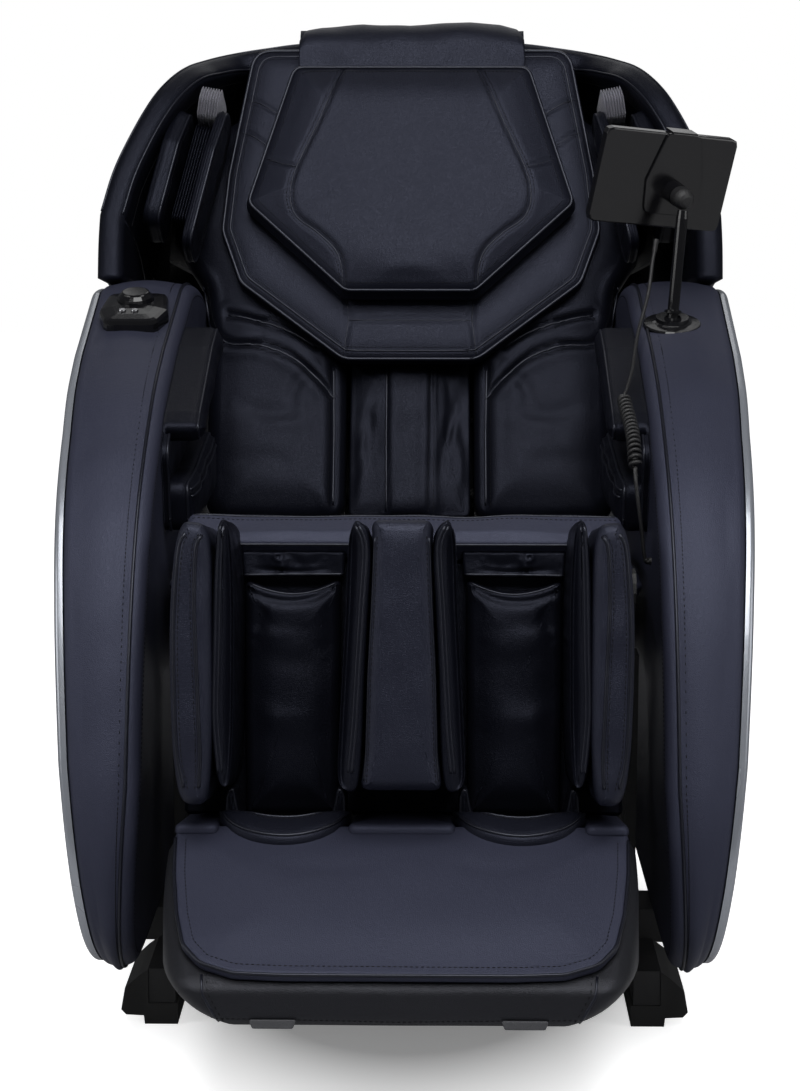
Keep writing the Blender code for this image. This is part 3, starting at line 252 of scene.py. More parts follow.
class Sewing:
    # gathers the piping and stitches of one piece into one mesh each
    def __init__(self, piece, place, body, slot):
        self.piece, self.place, self.body, self.slot = piece.name, place, body, slot
        zero = place(np.zeros((1, 3)))[0]
        self.direction = zero - place(np.array([[0.0, 1.0, 0.0]]))[0]
        self.threads, self.tubes = [], []

    def drop(self, line, spacing):
        line = np.asarray(line, float)
        length = np.linalg.norm(np.diff(line, axis=0), axis=1).sum()
        flat = evenly(line, max(3, int(length / spacing)))
        start = self.place(np.stack((flat[:, 0], np.zeros(len(flat)), flat[:, 1]), 1))
        return laidOn(self.piece, start, self.direction)

    def stitch(self, line, pitch=0.0052, share=0.62, radius=0.00055):
        points, normals = self.drop(line, pitch)
        if len(points) > 2:
            self.stitchAt(points, normals, pitch, share, radius)

    def rows(self, line, step):
        # a row of stitches on each side of a line
        self.stitch(beside(line, step))
        self.stitch(beside(line, -step))

    def stitchAt(self, points, normals, pitch=0.0052, share=0.62, radius=0.00055):
        # each stitch is a short tapered rod lying along the line
        t = tangents(points, False)
        b = np.cross(normals, t)
        turn = np.linspace(0, 2 * math.pi, 6, endpoint=False)
        along = np.array([-1.0, -0.55, 0.55, 1.0]) * pitch * share / 2
        thick = np.array([0.35, 1.0, 1.0, 0.35]) * radius
        ring = (points[:, None, None] + t[:, None, None] * along[None, :, None, None]
                + thick[None, :, None, None] * (np.cos(turn)[None, None, :, None] * normals[:, None, None]
                                                + np.sin(turn)[None, None, :, None] * b[:, None, None]))
        self.threads.append(ring.reshape(-1, 4, 6, 3))

    def pipe(self, line, radius=0.0016, sink=0.3, spacing=0.005):
        points, normals = self.drop(line, spacing)
        if len(points) > 2:
            self.tubes.append(rope(points - normals * radius * sink, radius, normals))

    def beading(self, path, radius, hint, closed=True):
        self.tubes.append(rope(np.vstack((path, path[:2])) if closed else path, radius, hint))

    def finish(self):
        if self.threads:
            rings = np.concatenate(self.threads)
            one = np.arange(24).reshape(4, 6)
            there = np.roll(one, -1, 1)
            quads = np.stack((one[:-1], there[:-1], there[1:], one[1:]), -1).reshape(-1, 4)
            quads = np.concatenate((quads, [[0, 1, 2, 3], [0, 3, 4, 5], [21, 20, 19, 18], [23, 22, 21, 18]]))
            every = (quads[None] + (np.arange(len(rings)) * 24)[:, None, None]).reshape(-1, 4)
            meshed(self.piece + "_stitches", rings.reshape(-1, 3), every, np.zeros((0, 3), int), self.body,
                   looks["thread"], self.slot)
        if self.tubes:
            points, quads, tris, start = [], [], [], 0
            for tube in self.tubes:
                rows, sides = tube.shape[:2]
                index = start + np.arange(rows * sides).reshape(rows, sides)
                there = np.roll(index, -1, 1)
                quads.append(np.stack((index[:-1], there[:-1], there[1:], index[1:]), -1).reshape(-1, 4))
                for row, turned in ((index[0], -1), (index[-1], 1)):   # a fan closes each end
                    fan = np.stack((row[1:-1], row[2:], np.full(sides - 2, row[0])), 1)
                    tris.append(fan[:, ::turned])
                points.append(tube.reshape(-1, 3))
                start += rows * sides
            meshed(self.piece + "_piping", np.vstack(points), np.vstack(quads), np.vstack(tris), self.body,
                   looks["piping"], self.slot)


# ---- materials
def shaderNode(tree, kind, **values):
    node = tree.nodes.new(kind)
    for key, value in values.items():
        if key in node.inputs:
            node.inputs[key].default_value = value
        else:
            setattr(node, key, value)
    return node


def grainGroup():
    # mottled tone, roughness and a pebbled bump in object space, each by its own amount
    tree = bpy.data.node_groups.new("hideGrain", "ShaderNodeTree")
    colour, number = "NodeSocketColor", "NodeSocketFloat"
    for name, kind, value in (("Tone", colour, (0.02, 0.02, 0.03, 1)),
                              ("Worn Tone", colour, (0.03, 0.03, 0.04, 1)), ("Pebble Size", number, 700.0),
                              ("Pebble Depth", number, 0.2), ("Base Roughness", number, 0.4)):
        socket = tree.interface.new_socket(name, in_out="INPUT", socket_type=kind)
        socket.default_value = value
    for name, kind in (("Color", colour), ("Roughness", number), ("Height", number)):
        tree.interface.new_socket(name, in_out="OUTPUT", socket_type=kind)
    into, out = tree.nodes.new("NodeGroupInput"), tree.nodes.new("NodeGroupOutput")
    where = tree.nodes.new("ShaderNodeTexCoord")
    link = tree.links.new
    pebbles = shaderNode(tree, "ShaderNodeTexVoronoi", feature="DISTANCE_TO_EDGE")
    bend = shaderNode(tree, "ShaderNodeTexNoise", Scale=240.0, Detail=2.0)
    mottle = shaderNode(tree, "ShaderNodeTexNoise", Scale=7.0, Detail=3.0)
    link(where.outputs["Object"], pebbles.inputs["Vector"])
    link(where.outputs["Object"], bend.inputs["Vector"])
    link(where.outputs["Object"], mottle.inputs["Vector"])
    link(into.outputs["Pebble Size"], pebbles.inputs["Scale"])
    edge = shaderNode(tree, "ShaderNodeMapRange")
    edge.inputs["From Max"].default_value = 0.25
    link(pebbles.outputs["Distance"], edge.inputs["Value"])
    mixHeight = shaderNode(tree, "ShaderNodeMath", operation="MULTIPLY_ADD")
    mixHeight.inputs[1].default_value = 0.6
    link(edge.outputs["Result"], mixHeight.inputs[0])
    link(bend.outputs["Fac"], mixHeight.inputs[2])
    depth = shaderNode(tree, "ShaderNodeMath", operation="MULTIPLY")
    link(mixHeight.outputs["Value"], depth.inputs[0])
    link(into.outputs["Pebble Depth"], depth.inputs[1])
    link(depth.outputs["Value"], out.inputs["Height"])
    tone = shaderNode(tree, "ShaderNodeMix", data_type="RGBA")
    link(mottle.outputs["Fac"], tone.inputs["Factor"])
    link(into.outputs["Tone"], tone.inputs["A"])
    link(into.outputs["Worn Tone"], tone.inputs["B"])
    link(tone.outputs["Result"], out.inputs["Color"])
    rough = shaderNode(tree, "ShaderNodeMath", operation="MULTIPLY_ADD")
    rough.inputs[1].default_value = 0.10
    link(mottle.outputs["Fac"], rough.inputs[0])
    link(into.outputs["Base Roughness"], rough.inputs[2])
    link(rough.outputs["Value"], out.inputs["Roughness"])
    return tree


hideGrain = grainGroup()


def finish(name, tone, worn, roughness, pebble=700.0, depth=0.2, metal=0.0, coat=0.0, sheen=0.0, ior=1.5,
           tint=(1, 1, 1)):
    # the tone mottles into the worn tone; pebbles are counted per metre
    look = bpy.data.materials.new(name)
    look.use_nodes = True
    tree = look.node_tree
    shader = tree.nodes["Principled BSDF"]
    grain = tree.nodes.new("ShaderNodeGroup")
    grain.node_tree = hideGrain
    grain.inputs["Tone"].default_value = (*tone, 1)
    grain.inputs["Worn Tone"].default_value = (*worn, 1)
    grain.inputs["Pebble Size"].default_value = pebble
    grain.inputs["Pebble Depth"].default_value = depth
    grain.inputs["Base Roughness"].default_value = roughness - 0.05
    tree.links.new(grain.outputs["Color"], shader.inputs["Base Color"])
    tree.links.new(grain.outputs["Roughness"], shader.inputs["Roughness"])
    raised = shaderNode(tree, "ShaderNodeBump", Strength=1.0, Distance=0.0004)
    tree.links.new(grain.outputs["Height"], raised.inputs["Height"])
    tree.links.new(raised.outputs["Normal"], shader.inputs["Normal"])
    shader.inputs["Metallic"].default_value = metal
    shader.inputs["Coat Weight"].default_value = coat
    shader.inputs["Sheen Weight"].default_value = sheen
    shader.inputs["IOR"].default_value = ior
    shader.inputs["Specular Tint"].default_value = (*tint, 1)
    return look


leatherTint = (0.68, 0.73, 1.0)
# one navy leather in several tones: the darker copies below are painted shade, not other leathers
looks = {
    "leather": finish("navy_leather", (0.0225, 0.0240, 0.0395), (0.0265, 0.0283, 0.0460), 0.46, 620, 0.5,
                      ior=1.42, tint=leatherTint),
    # navy leather darkened: painted shade on the upright walls of the calf channels
    "shadeLeather": finish("navy_leather_painted_shade", (0.0085, 0.0092, 0.0155), (0.0110, 0.0119, 0.0200), 0.38, 620,
                         0.5, ior=1.40, tint=leatherTint),
    # navy leather darkened further: painted shade on the head pillow, back pad, hood flap and well rims
    "deeperShadeLeather": finish("navy_leather_painted_deeper_shade", (0.0044, 0.0048, 0.0085), (0.0060, 0.0066, 0.0113), 0.40, 620,
                          0.5, ior=1.33, tint=leatherTint),
    # leather darkened and made less blue: painted shade under the seat and on the foot box, its grey standing
    # for floor bounce
    "underShadeLeather": finish("leather_painted_under_shade_and_bounce", (0.0060, 0.0062, 0.0075), (0.008, 0.0082, 0.010), 0.47, 620,
                          0.5, ior=1.42, tint=(0.86, 0.88, 1.0)),
    # navy leather at its darkest: painted shade on recessed pieces such as the lumbar cushions, strip, hood
    # wings, shoulder, forearm and calf pads, channel walls, well ears and calf housing
    "softLeather": finish("navy_leather_painted_deepest_shade", (0.0028, 0.0031, 0.0052), (0.0042, 0.0046, 0.0078), 0.37,
                          620, 0.5, ior=1.26, tint=leatherTint),
    "piping": finish("edge_piping", (0.0055, 0.006, 0.0095), (0.008, 0.0085, 0.013), 0.30, 900, 0.2,
                     ior=1.45, tint=(0.80, 0.84, 1.0)),
    "thread": finish("waxed_thread", (0.0030, 0.0031, 0.0045), (0.005, 0.0052, 0.007), 0.6, 2500, 0.4,
                     ior=1.25),
    "shell": finish("silver_shell", (0.31, 0.33, 0.37), (0.35, 0.37, 0.41), 0.26, 2200, 0.05, metal=0.55,
                    coat=0.6),
    "gloss": finish("gloss_black_plastic", (0.004, 0.004, 0.005), (0.006, 0.006, 0.007), 0.15, 1500, 0.03),
    "satin": finish("satin_black_plastic", (0.010, 0.010, 0.011), (0.014, 0.014, 0.015), 0.38, 1400, 0.4),
    "matte": finish("matte_black_plastic", (0.012, 0.012, 0.013), (0.017, 0.017, 0.018), 0.55, 1100, 0.6),
    "frame": finish("black_powder_coat", (0.011, 0.011, 0.012), (0.016, 0.016, 0.017), 0.42, 1600, 0.5),
    "chrome": finish("bright_rod", (0.55, 0.55, 0.57), (0.6, 0.6, 0.62), 0.18, 2500, 0.02, metal=1.0),
    "bellows": finish("grey_bellows_cloth", (0.15, 0.148, 0.185), (0.19, 0.188, 0.23), 0.8, 1800, 0.8,
                      sheen=0.3),
    "rubber": finish("black_rubber", (0.014, 0.014, 0.014), (0.02, 0.02, 0.02), 0.75, 1300, 0.5),
    "tab": finish("grey_rubber_tab", (0.045, 0.046, 0.052), (0.055, 0.056, 0.062), 0.6, 1300, 0.5),
    "ring": finish("brushed_ring", (0.45, 0.45, 0.47), (0.5, 0.5, 0.52), 0.25, 2500, 0.02, metal=1.0),
}


# ---- studio
# lamps are (place, size, watts, target); the floor glows least under the chair, which paints a shadow there,
# and is plain white away from it
room = {"lens": 76.9, "eye": (0.034, -2.83, 0.99), "eyeDown": 10, "eyeTurn": 0.885, "fill": 0.085,
        "lamps": {"key": ((0.1, -1.8, 3.2), 2.4, 100, (0, -0.3, 0.3)),
                  "left": ((-2.7, -1.2, 1.6), 1.4, 17, (0, 0, 0.5)),
                  "right": ((2.7, -1.2, 1.6), 1.4, 14, (0, 0, 0.5)),
                  "rear": ((0.0, 2.4, 2.6), 1.8, 7, (0, 0, 0.9))},
        "floorReach": 9.0, "floorGlowWithPaintedShadow": {"From Min": 0.36, "From Max": 0.62, "To Min": 0.20, "To Max": 1.0},
        "floorBounce": (0.5, 0.5, 0.51, 1), "floorSeen": (0.95, 0.95, 0.95, 1)}


def studioWorld(scene):
    # the camera sees plain white, everything else a faint fill
    world = bpy.data.worlds.new("studio_world")
    scene.world = world
    world.use_nodes = True
    tree = world.node_tree
    tree.nodes.clear()
    out = tree.nodes.new("ShaderNodeOutputWorld")
    seen = shaderNode(tree, "ShaderNodeBackground", Color=(1, 1, 1, 1), Strength=1.0)
    fill = shaderNode(tree, "ShaderNodeBackground", Color=(0.93, 0.95, 1, 1), Strength=room["fill"])
    path = tree.nodes.new("ShaderNodeLightPath")
    mix = tree.nodes.new("ShaderNodeMixShader")
    tree.links.new(path.outputs["Is Camera Ray"], mix.inputs["Fac"])
    tree.links.new(fill.outputs["Background"], mix.inputs[1])
    tree.links.new(seen.outputs["Background"], mix.inputs[2])
    tree.links.new(mix.outputs["Shader"], out.inputs["Surface"])


def studioFloor(scene):
    reach = room["floorReach"]
    floorMesh = bpy.data.meshes.new("studio_floor")
    floorMesh.from_pydata([(-reach, -reach, 0), (reach, -reach, 0), (reach, reach, 0), (-reach, reach, 0)], [],
                          [(0, 1, 2, 3)])
    floor = bpy.data.objects.new("studio_floor", floorMesh)
    scene.collection.objects.link(floor)
    paint = bpy.data.materials.new("pale_floor")
    paint.use_nodes = True
    tree = paint.node_tree
    shader = tree.nodes["Principled BSDF"]
    shader.inputs["Roughness"].default_value = 0.9
    shader.inputs["Emission Color"].default_value = (1, 1, 1, 1)
    path = tree.nodes.new("ShaderNodeLightPath")
    lift = shaderNode(tree, "ShaderNodeMath", operation="MULTIPLY")
    where = tree.nodes.new("ShaderNodeTexCoord")
    widen = shaderNode(tree, "ShaderNodeVectorMath", operation="MULTIPLY")
    widen.inputs[1].default_value = (1.6, 1.0, 1.0)
    away = shaderNode(tree, "ShaderNodeVectorMath", operation="LENGTH")
    # the glow rises with the widened distance from the chair's middle; the low glow near the chair is a painted
    # shadow
    rise = tree.nodes.new("ShaderNodeMapRange")
    for key, value in room["floorGlowWithPaintedShadow"].items():
        rise.inputs[key].default_value = value
    tone = shaderNode(tree, "ShaderNodeMix", data_type="RGBA")   # the chair gets less light back from it
    tone.inputs["A"].default_value, tone.inputs["B"].default_value = room["floorBounce"], room["floorSeen"]
    for output, socket in ((where.outputs["Object"], widen.inputs[0]),
                           (widen.outputs["Vector"], away.inputs[0]),
                           (away.outputs["Value"], rise.inputs["Value"]),
                           (rise.outputs["Result"], lift.inputs[1]),
                           (path.outputs["Is Camera Ray"], lift.inputs[0]),
                           (lift.outputs["Value"], shader.inputs["Emission Strength"]),
                           (path.outputs["Is Camera Ray"], tone.inputs["Factor"]),
                           (tone.outputs["Result"], shader.inputs["Base Color"])):
        tree.links.new(output, socket)
    floorMesh.materials.append(paint)


def studio():
    scene = bpy.context.scene
    scene.view_settings.view_transform = "Standard"
    eye = bpy.data.cameras.new("studio_camera")
    eye.lens, eye.sensor_width = room["lens"], 36.0
    camera = bpy.data.objects.new("studio_camera", eye)
    scene.collection.objects.link(camera)
    camera.location = np.add(room["eye"], (0, chair["depthShift"], 0))
    camera.rotation_euler = (math.radians(90 - room["eyeDown"]), 0, math.radians(room["eyeTurn"]))
    scene.camera = camera
    for name, (place, size, power, target) in room["lamps"].items():
        light = bpy.data.lights.new("lamp_" + name, "AREA")
        light.shape, light.size, light.energy = "SQUARE", size, power
        lamp = bpy.data.objects.new("lamp_" + name, light)
        scene.collection.objects.link(lamp)
        lamp.location = place
        lamp.rotation_euler = (Vector(target) - Vector(place)).to_track_quat("-Z", "Y").to_euler()
    studioWorld(scene)
    studioFloor(scene)


studio()
print("studio set")


# ---- padded forms
def anticlockwise(outline):
    ahead = np.roll(outline, -1, 0)
    area = (outline[:, 0] * ahead[:, 1] - ahead[:, 0] * outline[:, 1]).sum()
    return outline[::-1] if area < 0 else outline


def padGrid(outline, thickness, edge, crown, rings=26, count=220, rear=0.004, sideSwell=0.0, relief=None,
            spread=0.035, walls=6, wallRelief=None):
    # rings run from the middle of the rear face out over its rim, up the side and in over the front;
    # the front rises from its rim by crown * (1 - exp(-(distance / spread) ** 2)) and takes the relief on top
    outline = anticlockwise(evenly(outline, count, True))
    into, middle = inwards(outline), outline.mean(0)
    turn = np.linspace(0, math.pi / 2, 7)
    wall = np.linspace(0, 1, walls + 2)[1:-1]
    wallRing, frontRing = 11, 11 + walls   # where the side and the front begin
    share = np.concatenate((np.linspace(0.02, 0.85, 4), np.ones(14 + walls),
                            np.linspace(1, 0, rings + 1)[1:-1]))
    inset = np.concatenate((np.full(4, rear), rear * (1 - np.sin(turn)), -sideSwell * np.sin(math.pi * wall),
                            edge * (1 - np.cos(turn)), np.full(rings - 1, edge)))
    depth = np.concatenate((np.zeros(4), rear * (1 - np.cos(turn)), rear + (thickness - edge - rear) * wall,
                            thickness - edge + edge * np.sin(turn), np.full(rings - 1, thickness)))
    front = np.concatenate((np.zeros(frontRing), np.sin(turn) ** 2, np.ones(rings - 1)))
    inset = np.repeat(inset[:, None], count, 1)
    if wallRelief is not None:   # takes (distance round the outline, depth) on the pad's sides
        side = np.stack(np.broadcast_arrays(np.linspace(0, 1, count)[None],
                                            depth[wallRing:frontRing, None]), -1)
        inset[wallRing:frontRing] -= wallRelief(side) * np.sin(math.pi * wall)[:, None] ** 0.5
    flatPoints = middle + (outline[None] + into[None] * inset[..., None] - middle) * share[:, None, None]
    high = np.repeat(depth[:, None], count, 1)
    if crown:
        fore = flatPoints[frontRing:]
        away = distanceTo(fore.reshape(-1, 2), [closing(outline)[::2]]).reshape(fore.shape[:2])
        high[frontRing:] += crown * front[frontRing:, None] * (1 - np.exp(-(away / spread) ** 2))
    if relief is not None:
        high = high + front[:, None] * relief(flatPoints.reshape(-1, 2)).reshape(high.shape)
    return np.stack((flatPoints[..., 0], high, flatPoints[..., 1]), -1)


def grooves(lines, depth=0.0035, width=0.0045, puff=0.0016):
    # a sewn line is a narrow valley with the stuffing risen a little on both sides of it
    def relief(points):
        away = distanceTo(points, lines)
        return -depth * np.exp(-(away / width) ** 2) + puff * np.exp(-((away - 3 * width) / (2 * width)) ** 2)
    return relief


def creases(marks):
    # marks are (line, height, width); each fades towards its two ends
    def relief(points):
        total = np.zeros(len(points))
        for line, height, width in marks:
            line = evenly(flowing(line), 24)
            away = distanceTo(points, [line])
            ends = np.minimum(np.linalg.norm(points - line[0], axis=1),
                              np.linalg.norm(points - line[-1], axis=1))
            length = np.linalg.norm(line[-1] - line[0])
            total += height * np.exp(-(away / width) ** 2) * np.clip(ends / (0.3 * length), 0, 1)
        return total
    return relief


def folded(marks, turned):
    return creases([(turned(line), height, width) for line, height, width in marks])


def together(*reliefs):
    return lambda points: sum(r(points) for r in reliefs)


def waves(seed, size, height):
    return lambda points: swell(points, seed, size, height)


def soft(name, node, body, grid, look, fill=0.8):
    piece = skinned(name, grid, body, looks[look], node)
    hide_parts(node)
    return piece


def extra(name, node, body, grid, look, fill):
    # a padded piece beside the one that stands for the node
    piece = skinned(name, grid, body, looks[look], node)
    return piece


def rimPath(place, outline, edge, depth, count=240, out=0.0):
    # the sewn edge of a pad: its outline drawn in by a share of the edge, at the height of the seam
    line = anticlockwise(evenly(outline, count, True))
    drawn = edge * 0.293 - out
    line = line + inwards(line) * drawn
    return place(np.stack((line[:, 0], np.full(len(line), depth - drawn), line[:, 1]), 1))


# ---- head pillow
pillow = {"corners": [(0.086, 0.368), (0.2185, 0.497), (0.160, 0.702)], "radius": 0.020, "rear": -0.0999,
          "thickness": 0.036, "edge": 0.015, "crown": 0.014, "bead": 0.0023,
          "sideSeam": [(0.088, 0.372), (0.089, 0.400), (0.098, 0.425), (0.122, 0.450), (0.148, 0.471),
                       (0.1575, 0.492), (0.1575, 0.515), (0.150, 0.545), (0.121, 0.615), (0.092, 0.695)],
          "crossSeam": [(0.151, 0.543), (0.168, 0.549), (0.190, 0.560)],
          "innerCorners": [(0.082, 0.380), (0.203, 0.500), (0.148, 0.690)],
          "folds": [([(-0.14, 0.50), (-0.12, 0.505), (-0.10, 0.50)], -0.0015, 0.012),
                    ([(-0.06, 0.385), (0.0, 0.40), (0.06, 0.385)], 0.002, 0.012)]}


def headPillow():
    place = facing(onBack, pillow["rear"])
    outline = cornered(mirrored(pillow["corners"]), pillow["radius"])
    side, cross = flowing(pillow["sideSeam"]), np.array(pillow["crossSeam"])
    relief = together(grooves([side, flip(side), cross, flip(cross)], 0.0026, 0.0028, 0.0006),
                      waves(3, 0.12, 0.0010), creases(pillow["folds"]))
    grid = padGrid(outline, pillow["thickness"], pillow["edge"], pillow["crown"], 44, 340, 0.010, 0.002,
                   relief=relief)
    piece = soft("head_cushion", "head_pillow", "pillow", place(grid), "deeperShadeLeather", 0.85)
    sewing = Sewing(piece, place, "pillow", "head_pillow")
    for line in (side, flip(side)):
        sewing.pipe(line, 0.0011, 0.1)
        sewing.rows(line, 0.0045)
    for line in (cross, flip(cross)):
        sewing.pipe(line, 0.0008, 0.1)
    sewing.beading(rimPath(place, outline, pillow["edge"], pillow["thickness"], out=0.0008), pillow["bead"],
                   (0, -1, 0))
    sewing.stitch(closing(cornered(mirrored(pillow["innerCorners"]), pillow["radius"])))
    sewing.finish()


# ---- back pad under the pillow, with its double edge and sewn panels
backPad = {"rear": -0.0756, "thickness": 0.018, "edge": 0.008, "crown": 0.006, "bead": 0.0026,
           "half": [(0.088, 0.290), (0.226, 0.400), (0.2525, 0.476), (0.246, 0.560), (0.216, 0.748)],
           "innerHalf": [(0.084, 0.302), (0.216, 0.407), (0.241, 0.478), (0.235, 0.558), (0.206, 0.736)],
           "levelSeam": [(-0.081, 0.344), (0.0, 0.3445), (0.081, 0.344)],
           "sideSeams": {"chin": [(0.083, 0.372), (0.081, 0.344), (0.087, 0.296)],
                         "top": [(0.232, 0.676), (0.205, 0.664), (0.170, 0.640)],
                         "low": [(0.238, 0.626), (0.215, 0.615), (0.180, 0.588)]}}


def backPanel():
    place = facing(onBack, backPad["rear"])
    outline = cornered(mirrored(backPad["half"]), 0.030)
    chin, top, low = (np.array(line) for line in backPad["sideSeams"].values())
    lines = [chin, flip(chin), np.array(backPad["levelSeam"]), top, flip(top), low, flip(low)]
    relief = together(grooves(lines, 0.0022, 0.0028, 0.0005), waves(11, 0.15, 0.0015))
    grid = padGrid(outline, backPad["thickness"], backPad["edge"], backPad["crown"], 46, 360, 0.003, 0.001,
                   relief=relief, spread=0.02)
    piece = soft("back_panel", "back_pad", "back", place(grid), "deeperShadeLeather", 0.7)
    sewing = Sewing(piece, place, "back", "back_pad")
    for line in lines:
        sewing.pipe(line, 0.0008, 0.1)
    inner = closing(cornered(mirrored(backPad["innerHalf"]), 0.026))
    sewing.pipe(inner, 0.0013, 0.1)
    sewing.rows(inner, 0.0045)
    sewing.beading(rimPath(place, outline, backPad["edge"], backPad["thickness"], out=0.0006),
                   backPad["bead"], (0, -1, 0))
    sewing.finish()


# ---- flap over the top of the hood; its front is (along the chair, share of the way from hem to crest)
headFlap = {"half": 0.153, "low": 0.7045, "under": 0.7785, "rear": 0.030, "front": -0.068, "foot": -0.0900,
            "lining": -0.0960, "wall": 0.012, "roundedEnd": 0.014,
            "crest": [(-0.153, 0.783), (-0.124, 0.791), (-0.067, 0.7965), (-0.003, 0.7938), (0.038, 0.7980),
                      (0.080, 0.8003), (0.121, 0.7965), (0.153, 0.785)],
            "profile": [(-0.1150, 0.0), (-0.1190, 0.35), (-0.1185, 0.52), (-0.1130, 0.68), (-0.1020, 0.83),
                        (-0.0860, 0.945), (-0.0680, 1.0)]}


def topFlap():
    # columns run from side to side, each one a loop up the front, back over the hood and home underneath
    x = np.linspace(-1, 1, 121)
    flat = x * headFlap["half"]
    crest = np.interp(flat, *np.array(headFlap["crest"]).T)
    crest = crest - headFlap["roundedEnd"] * np.clip((np.abs(x) - 0.93) / 0.07, 0, 1) ** 2
    low, under, rear, front = (headFlap[key] for key in ("low", "under", "rear", "front"))
    loop = [(y, low + (crest - low) * share) for y, share in flowing(headFlap["profile"], 5)]
    loop += [(front + (rear - front) * k, crest - 0.006 * k ** 2) for k in np.linspace(0.1, 1, 12)]
    loop += [(rear - 0.002 - (rear - 0.002 - headFlap["foot"]) * k, np.full_like(x, under + 0.0006))
             for k in np.linspace(0, 1, 10)]
    inside = under - headFlap["wall"]
    loop += [(headFlap["lining"], inside - (inside - low) * k) for k in np.linspace(0, 1, 8)]
    grid = np.stack([np.stack((flat, np.full_like(x, y), np.broadcast_to(z, x.shape)), 1)
                     for y, z in loop], 1)
    onFront = (grid[..., 1] < -0.085) & (grid[..., 1] != headFlap["lining"])
    grid[..., 1] -= swell(grid[..., ::2].reshape(-1, 2), 8, 0.07, 0.0022).reshape(grid.shape[:2]) * onFront
    return soft("hood_flap", "head_flap", "back", onBack(grid), "deeperShadeLeather", 0.4)


headPillow()
backPanel()
topFlap()
print("head end sewn")


# ---- lumbar cushions, the strip between them and their gussets
lumbar = {"rear": -0.0353, "thickness": 0.028, "edge": 0.018, "crown": 0.012,
          "half": [(0.084, 0.080), (0.246, 0.080), (0.2655, 0.100), (0.2665, 0.330), (0.2720, 0.398),
                   (0.2960, 0.438), (0.3200, 0.490), (0.3180, 0.560), (0.270, 0.638), (0.200, 0.690),
                   (0.084, 0.695)],
          "arc": [(0.278, 0.412), (0.266, 0.352), (0.241, 0.324), (0.199, 0.319), (0.156, 0.302),
                  (0.118, 0.269), (0.099, 0.246)],
          "secondArc": [(0.242, 0.365), (0.204, 0.355), (0.161, 0.340), (0.125, 0.318)],
          "upright": [(0.101, 0.290), (0.099, 0.200), (0.099, 0.100)],
          "folds": [([(0.13, 0.232), (0.18, 0.222), (0.235, 0.238)], -0.0025, 0.011),
                    ([(0.12, 0.205), (0.16, 0.212), (0.20, 0.200)], 0.0016, 0.010),
                    ([(0.14, 0.150), (0.19, 0.160), (0.24, 0.148)], -0.0020, 0.013),
                    ([(0.12, 0.290), (0.15, 0.262), (0.16, 0.225)], -0.003, 0.009)]}
strip = {"corners": [(-0.079, 0.088), (0.079, 0.088), (0.079, 0.695), (-0.079, 0.695)],
         "thickness": 0.018, "edge": 0.010, "crown": 0.006, "panel": 0.034, "sunk": 0.006,
         "leftSeam": [(-0.031, 0.30), (-0.031, 0.20), (-0.030, 0.095)],
         "rightSeam": [(0.028, 0.30), (0.028, 0.20), (0.027, 0.095)]}


def lumbarCushions():
    place = facing(onBack, lumbar["rear"])
    arcs = [flowing(lumbar["arc"]), flowing(lumbar["secondArc"])]
    for side, name in bothSides:
        turned = onSide(side)
        slot = "lumbar_cushion_" + name
        outline = turned(cornered(lumbar["half"], 0.030))
        lines = [turned(line) for line in arcs + [lumbar["upright"]]]
        relief = together(grooves(lines, 0.0042, 0.0042, 0.002), folded(lumbar["folds"], turned),
                          waves(20 + side, 0.10, 0.0018))
        grid = padGrid(outline, lumbar["thickness"], lumbar["edge"], lumbar["crown"], 44, 280, relief=relief)
        piece = soft("lumbar_pillow_" + name, slot, "back", place(grid), "softLeather", 0.7)
        sewing = Sewing(piece, place, "back", slot)
        for line in lines:
            sewing.pipe(line, 0.0017, 0.2)
        for line in lines[:2]:
            sewing.rows(line, 0.006)
        sewing.stitch(beside(lines[2], 0.006 * side))
        sewing.finish()


def middleStrip():
    place = facing(onBack, lumbar["rear"])
    left, right = np.array(strip["leftSeam"]), np.array(strip["rightSeam"])
    random = np.random.default_rng(4)
    folds = []
    for side in (-1, 1):
        for k in range(9):
            x, z = side * random.uniform(0.040, 0.070), random.uniform(0.11, 0.30)
            tilt, run = random.uniform(-0.010, 0.010), random.uniform(0.03, 0.06)
            folds.append(([(x - tilt, z - run), (x + 0.002, z), (x + tilt, z + run)],
                          random.uniform(-0.0032, 0.0024), random.uniform(0.005, 0.009)))

    def sunk(points):
        # the gussets lie lower than the panel between the seams
        return -strip["sunk"] / (1 + np.exp(-(np.abs(points[:, 0]) - strip["panel"]) / 0.002))
    relief = together(grooves([left, right], 0.003, 0.0035, 0.001), creases(folds), sunk,
                      waves(31, 0.06, 0.0016))
    grid = padGrid(cornered(strip["corners"], 0.010), strip["thickness"], strip["edge"], strip["crown"], 50,
                   330, relief=relief, spread=0.015)
    piece = soft("spine_strip", "back_strip", "back", place(grid), "softLeather", 0.5)
    sewing = Sewing(piece, place, "back", "back_strip")
    sewing.pipe(left, 0.0014, 0.1)
    sewing.stitch(beside(right, 0.004))
    sewing.stitch(beside(right, -0.003))
    sewing.finish()


# ---- hood wings; crest points are (across, up, front edge along the chair)
wing = {"rear": 0.0541, "thick": 0.034, "footRadius": 0.4085, "edge": 0.013, "footRows": 14,
        "crest": [(0.4000, 0.454, -0.195), (0.3880, 0.510, -0.195), (0.3720, 0.560, -0.190),
                  (0.3540, 0.609, -0.182), (0.3345, 0.650, -0.170), (0.3080, 0.693, -0.145),
                  (0.2800, 0.7275, -0.108), (0.2440, 0.755, -0.078), (0.2000, 0.7665, -0.072),
                  (0.1500, 0.7735, -0.072), (0.0800, 0.7755, -0.072), (0.0005, 0.7755, -0.072)]}


